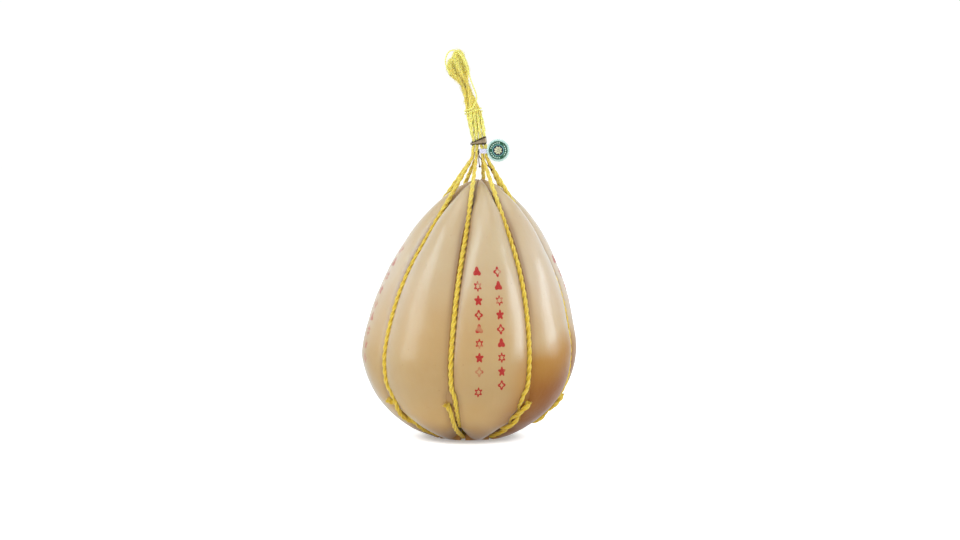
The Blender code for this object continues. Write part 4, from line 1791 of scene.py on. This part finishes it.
@dataclass
class Clip:
    """The metal band bent round the strands, its wide end folded over the front to a point."""

    net: Net
    middle_z: float = 294.5
    height: float = 4.4
    wall: float = 0.9
    tilt: float = 0.30
    room: float = 0.55
    lap: float = 1.1
    flap: float = 8.2
    tip: float = 1.3
    bent: float = 0.62  # the share of the band that goes round the strands
    turns: float = 3.6  # in corners
    past: float = 1.4  # how far the flap reaches past the strands
    drop: float = 1.6
    dish: float = 0.22  # how much the band bows across its height
    edge: float = 0.2
    steps: int = 96

    def section(self, share: float) -> tuple[float, float, float, float]:
        """Across, depth, middle height and height of the band at a share of its length.

        Args:
            share: The share of its length.

        Returns:
            The four sizes.
        """
        half = 1.5 * self.net.clip_pitch, 0.5 * self.net.clip_pitch
        inner = self.net.clip_r + self.room
        if share < self.bent:
            turn = self.turns - self.turns * share / self.bent
            across, depth = corner_place(*half, inner + self.lap * eased(1.2, 0.0, turn), turn)
            grow = eased(1.0, 0.0, turn)
            tall = self.height + (self.flap - self.height) * grow
            return across, depth, self.middle_z + self.tilt * across * (1.0 - 0.6 * grow), tall
        run = (share - self.bent) / (1.0 - self.bent)
        across = half[0] - (2.0 * half[0] + inner + self.past) * run
        depth = -half[1] - inner - self.lap + 0.7 * run**3
        tall = self.flap + (self.tip - self.flap) * run**0.9
        return across, depth, self.middle_z + self.tilt * across * 0.4 - self.drop * run, tall

    def build(self, material: Material) -> None:
        """Makes the clip.

        Args:
            material: Its finish.
        """
        bm = blank()
        made = bmesh.ops.create_grid(bm, x_segments=self.steps, y_segments=6, size=1.0, calc_uvs=True)
        for vert in made["verts"]:
            along, up = (vert.co.x + 1.0) / 2.0, vert.co.y
            across, depth, middle, tall = self.section(along)
            height = middle + up * tall / 2.0
            dish = math.copysign(self.dish * (1.0 - up * up), -depth)
            vert.co = self.net.middle(height) + Vector((across, depth + dish, 0.0))
        bmesh.ops.recalc_face_normals(bm, faces=bm.faces)
        bmesh.ops.solidify(bm, geom=bm.faces[:], thickness=self.wall)
        rim = [e for e in bm.edges if e.calc_face_angle(0.0) > math.radians(60.0)]
        rounded(bm, rim, self.edge, 2)
        settle(finished("metal_clip", bm, material, sharp=40.0), "clip_metal", "clip")


@dataclass
class WireEnds:
    """The clip's two wire ends, which hang between the strands and end in a bead."""

    net: Net
    wire_r: float = 0.45
    bead_r: float = 1.1
    step: float = 0.5
    columns: int = 12
    # Across and depth from the neck's middle, and height.
    left: tuple = (
        (-0.65, 0.6, 287.0), (-0.65, -0.6, 280.0), (-0.6, -4.6, 274.0), (0.2, -7.4, 270.0),
        (0.5, -8.2, 268.0),
    )  # fmt: skip
    right: tuple = (
        (-0.65, 2.2, 287.0), (-0.65, 1.6, 280.5), (3.4, -0.6, 275.0), (10.0, -4.2, 268.5),
        (12.6, -5.2, 265.0),
    )  # fmt: skip

    def build(self, material: Material) -> None:
        """Makes both wires.

        Args:
            material: Their finish.
        """
        for side, knots in (("left", self.left), ("right", self.right)):
            line = smoothed([Vector((self.net.neck_x + x, y, z)) for x, y, z in knots], 8)
            route = Route([(point, self.wire_r) for point in line], self.step, 2)
            last = len(route.points) - 1
            bm = blank()

            def place(column: int, row: int) -> Vector:
                """A point of the wire; it swells to a bead at its lower end."""
                to_tip = (last - row) * route.step - self.bead_r
                bead = math.sqrt(max(0.0, self.bead_r**2 - to_tip**2))
                reach = 0.0 if row in (0, last) else max(bead, self.wire_r)
                return route.around(row, math.tau * column / self.columns, reach)

            rolled_grid(bm, self.columns, last + 1, place)
            settle(finished(f"wire_end_{side}", bm, material), "clip_metal", f"prong_{side}")


@dataclass
class Seal:
    """The notched disc with its printed badge, and the strap that holds it to the net."""

    net: Net
    middle: Vector
    radius: float = 11.5
    thick: float = 2.2
    teeth: int = 48
    badge_r: float = 9.0
    badge_thick: float = 0.7
    gap: float = 0.3
    notch: float = 0.62
    notch_rise: float = 0.22
    petals: int = 8
    petal_r: float = 1.5
    petal_thin: float = 0.62
    petal_out: float = 2.55
    petal_taper: float = 0.28
    strap_z: float = 284.8
    strap_h: float = 4.6
    strap_wall: float = 1.0
    strap_columns: int = 48

    def lathe(self, profile: Sequence[tuple[float, float]], steps: int) -> Mesh:
        """Spins a profile about the seal's middle.

        Args:
            profile: Radius and depth behind the seal's middle, from front to back.
            steps: Cells round.

        Returns:
            The mesh.
        """
        bm = blank()
        verts = [bm.verts.new(self.middle + Vector((r, depth, 0.0))) for r, depth in profile]
        edges = [bm.edges.new(pair) for pair in zip(verts, verts[1:])]
        bmesh.ops.spin(
            bm, geom=verts + edges, cent=self.middle, axis=(0.0, 1.0, 0.0),
            angle=math.tau, steps=steps, use_merge=True,
        )  # fmt: skip
        return bm

    def build_disc(self, material: Material) -> None:
        """Makes the disc with its raised, notched rim.

        Args:
            material: Its finish.
        """
        half, r = self.thick / 2, self.radius
        bm = self.lathe(
            (
                (0.0, -half + 0.35), (r - 2.3, -half + 0.35), (r - 2.1, -half + 0.1), (r - 1.9, -half),
                (r - 0.5, -half), (r - 0.15, -half + 0.25), (r, -half + 0.6), (r, half - 0.6),
                (r - 0.2, half - 0.2), (r - 0.6, half), (r - 3.0, half), (r - 3.3, half - 0.3),
                (5.6, half - 0.3), (5.4, half - 0.55), (4.6, half - 0.55), (4.4, half - 0.3),
                (2.0, half - 0.3), (1.8, half - 0.7), (0.0, half - 0.8),
            ),
            2 * self.teeth,
        )  # fmt: skip
        for vert in bm.verts:
            arm = vert.co - self.middle
            flat = Vector((arm.x, 0.0, arm.z))
            if flat.length > r - 2.0:
                turn = math.atan2(arm.z, arm.x) / math.tau * self.teeth
                notch = 0.5 - 0.5 * math.cos(math.tau * turn)
                edge = eased(r - 2.0, r - 0.4, flat.length)
                vert.co -= flat.normalized() * self.notch * notch * edge
                rise = self.notch_rise * notch * eased(r - 2.0, r - 1.2, flat.length)
                vert.co.y += rise * (arm.y < 0.0)
        settle(finished("seal_disc", bm, material, sharp=38.0), "seal_plastic", "seal")

    def build_badge(self, print_finish: Material, cream: Material) -> None:
        """Makes the badge with its rings, and the rosette in its middle.

        Args:
            print_finish: The printed rings.
            cream: The rosette's finish.
        """
        front, r = -self.thick / 2 - self.gap - self.badge_thick, self.badge_r
        rings = (
            (0.0, 0.3), (r * 0.54, 0.3), (r * 0.56, 0.12), (r * 0.58, 0.05), (r * 0.64, 0.05),
            (r * 0.66, 0.14), (r * 0.70, 0.16), (r * 0.92, 0.16), (r * 0.94, 0.02), (r * 0.96, 0.0),
            (r * 0.985, 0.04), (r, 0.2), (r, self.badge_thick + 0.5), (0.0, self.badge_thick + 0.5),
        )  # fmt: skip
        bm = self.lathe([(reach, front + depth) for reach, depth in rings], 96)
        settle(finished("seal_badge", bm, print_finish, sharp=38.0), "badge_print", "badge")
        bm = bmesh.new()
        base = self.middle + Vector((0.0, front + 0.32, 0.0))
        for k in range(self.petals):
            self.petal(bm, base, math.tau * (k + 0.5) / self.petals)
        self.petal(bm, base, None)
        settle(finished("seal_rosette", bm, cream, sharp=38.0), "badge_print")

    def petal(self, bm: Mesh, base: Vector, angle: float | None) -> None:
        """Adds one petal, or the button in the middle where there is no angle.

        Args:
            bm: The rosette's mesh.
            base: The rosette's middle.
            angle: The petal's place round it.
        """
        full, off, taper = 1.0, self.petal_out, self.petal_taper
        if angle is None:
            full, off, taper = self.petal_thin, 0.0, 0.0
        radius, flat = self.petal_r, (0.16, 0.05)
        made = bmesh.ops.create_uvsphere(bm, u_segments=14, v_segments=8, radius=radius)["verts"]
        for vert in made:
            x, y, z = vert.co
            wide = y * self.petal_thin * (1.0 + taper * x / radius)
            vert.co = Vector((x * full + off, flat[z <= 0] * z, wide))
        bmesh.ops.scale(bm, vec=(1.0, -1.0, 1.0), verts=made)
        turn = Matrix.Rotation(angle or 0.0, 4, "Y")
        bmesh.ops.transform(bm, matrix=Matrix.Translation(base) @ turn, verts=made)

    def build_strap(self, material: Material) -> None:
        """Makes the strap: a band round the right-hand strands and a tongue to the disc.

        Args:
            material: Its finish.
        """
        net, half = self.net, self.net.row_pitch / 2
        inner = net.clip_r + 0.4
        middle_x = net.neck_x + net.group_gap / 2 + half
        bm = blank()

        def band(column: int, row: int) -> Vector:
            """A point of the band; the rows run round its section, and the last closes it."""
            side, step = divmod(row % 6, 3)
            up = ((-0.5, -0.42, 0.42), (0.5, 0.42, -0.42))[side][step]
            reach = inner + self.strap_wall * (1 - side)
            x, y = corner_place(half, half, reach, 4.0 * column / self.strap_columns)
            return Vector((middle_x + x, y, self.strap_z + up * self.strap_h))

        rolled_grid(bm, self.strap_columns, 7, band)
        near_x = middle_x + half + inner + self.strap_wall / 2
        far_x, back_y = self.middle.x - self.radius * 0.45, self.middle.y + self.thick / 2 + 0.8
        made = bmesh.ops.create_cube(bm, size=1.0)["verts"]
        for vert in made:
            far = vert.co.x > 0
            x, y = (far_x, back_y) if far else (near_x, -half)
            tall = self.strap_h * (1.3 if far else 0.82)
            vert.co = Vector((x, y + vert.co.y * self.strap_wall, self.strap_z + vert.co.z * tall))
        edges = {edge for vert in made for edge in vert.link_edges}
        rounded(bm, list(edges), 0.25, 3)
        settle(finished("seal_strap", bm, material, sharp=35.0), "strap_plastic", "strap")


# ---------------------------------------------------------------- studio


@dataclass(frozen=True)
class Softbox:
    """A soft light: where it stands, how high it looks on the axis, its size and its power."""

    name: str
    place: tuple[float, float, float]
    aim_z: float
    size: tuple[float, float]
    power: float
    colour: Colour = (1.0, 1.0, 1.0)
    mirrored: bool = True

    def build(self) -> None:
        """Hangs the light."""
        light = bpy.data.lights.new(self.name, "AREA")
        light.shape = "RECTANGLE"
        light.size, light.size_y = self.size
        light.energy, light.color = self.power, self.colour
        item = bpy.data.objects.new(self.name, light)
        item.location, item.visible_glossy = self.place, self.mirrored
        way = Vector((0.0, 0.0, self.aim_z)) - Vector(self.place)
        item.rotation_euler = way.to_track_quat("-Z", "Y").to_euler()
        bpy.context.scene.collection.objects.link(item)


@dataclass
class Studio:
    """Pale floor, soft lights and the camera."""

    floor_r: float = 14.0
    distance: float = 2.0
    elevation: float = math.radians(4.0)
    aim: tuple = (0.0105, 0.0, 0.166)
    lens: float = 75.0
    sensor: float = 36.0
    room_light: float = 0.51
    room_seen: float = 1.02  # how bright the room looks, straight or mirrored
    boxes: tuple = (
        Softbox("left softbox", (-1.16, -0.55, 0.55), 0.55, (0.8, 1.1), 6.0, (0.78, 0.91, 1.0)),
        Softbox("right softbox", (1.25, -0.2, 0.52), 0.52, (0.5, 1.0), 9.6, (0.76, 0.9, 1.0)),
        Softbox("top softbox", (-0.1, -0.2, 1.6), 0.2, (0.9, 0.9), 3.8, (0.86, 0.94, 1.0)),
        Softbox("high left softbox", (-0.85, -0.5, 1.2), 0.22, (0.6, 0.6), 4.7, (0.7, 0.88, 1.0)),
        Softbox("front fill", (0.0, -2.4, 0.22), 0.05, (1.8, 0.4), 16.0, mirrored=False),
        Softbox("back fill", (-0.5, 2.3, 0.7), 0.15, (1.6, 0.8), 8.0, mirrored=False),
    )

    def build_floor(self, material: Material) -> None:
        """Lays the floor.

        Args:
            material: Its finish.
        """
        bm = bmesh.new()
        bmesh.ops.create_circle(bm, cap_ends=True, segments=96, radius=self.floor_r / MM)
        finished("studio_floor", bm, material)

    def build_world(self) -> None:
        """Fills the room with soft white light."""
        world = bpy.data.worlds.new("white room")
        world.use_nodes = True
        bench = Bench(world.node_tree)
        path = bench.node("ShaderNodeLightPath").outputs
        seen = bench.math("MAXIMUM", path["Is Camera Ray"], path["Is Glossy Ray"])
        strength = bench.ramp(seen, 0.0, 1.0, self.room_light, self.room_seen)
        light = {"Color": (1.0, 1.0, 1.0), "Strength": strength}
        bench.feed(world.node_tree.nodes["Background"].inputs, light)
        bpy.context.scene.world = world

    def build_camera(self) -> None:
        """Sets the camera up in front, a little above the foot."""
        data = bpy.data.cameras.new("camera")
        data.lens, data.sensor_width = self.lens, self.sensor
        camera = bpy.data.objects.new("camera", data)
        back = Vector((0.0, -math.cos(self.elevation), math.sin(self.elevation)))
        camera.location = Vector(self.aim) + back * self.distance
        camera.rotation_euler = (-back).to_track_quat("-Z", "Y").to_euler()
        bpy.context.scene.collection.objects.link(camera)
        bpy.context.scene.camera = camera

    def build(self, floor: Material) -> None:
        """Sets everything up.

        Args:
            floor: The floor's finish.
        """
        bpy.context.scene.view_settings.view_transform = "Standard"
        self.build_floor(floor)
        self.build_world()
        self.build_camera()
        for box in self.boxes:
            box.build()


def main() -> None:
    """Builds the studio, then the cheese, its net and its fittings."""
    logging.basicConfig(level=logging.INFO, format="%(name)s: %(message)s")
    effects, net = Effects(), Net()
    Studio().build(FloorFinish().build(effects))
    CheeseBody(net).build(RindFinish().build(effects))
    TwineNet(net).build(TwineFinish().build(effects))
    string = TwineFinish(
        name="thin string", plies=2, body=paint(250, 238, 120), light=paint(255, 246, 160),
        deep=paint(206, 176, 60), around=5.0, along=300.0, skew=-700.0, depth=0.08,
    )  # fmt: skip
    Binding(net).build(string.build(effects))
    Clip(net).build(MetalFinish().build(effects))
    wire = MetalFinish(face=paint(110, 74, 40), edge=paint(70, 44, 24))
    WireEnds(net).build(wire.build(effects))
    low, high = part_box("seal")
    seal = Seal(net, (low + high) / 2 / MM)
    mint = PlasticFinish("mint plastic", paint(206, 232, 222), paint(176, 212, 202))
    seal.build_disc(mint.build(effects))
    badge = BadgeFinish("printed badge", seal.middle, seal.badge_r)
    cream = PlasticFinish("cream print", paint(222, 214, 178), paint(190, 196, 150))
    seal.build_badge(badge.build(effects), cream.build(effects))
    lilac = PlasticFinish("lilac strap", paint(222, 216, 232), paint(206, 200, 222))
    seal.build_strap(lilac.build(effects))


if __name__ == "__main__":
    main()
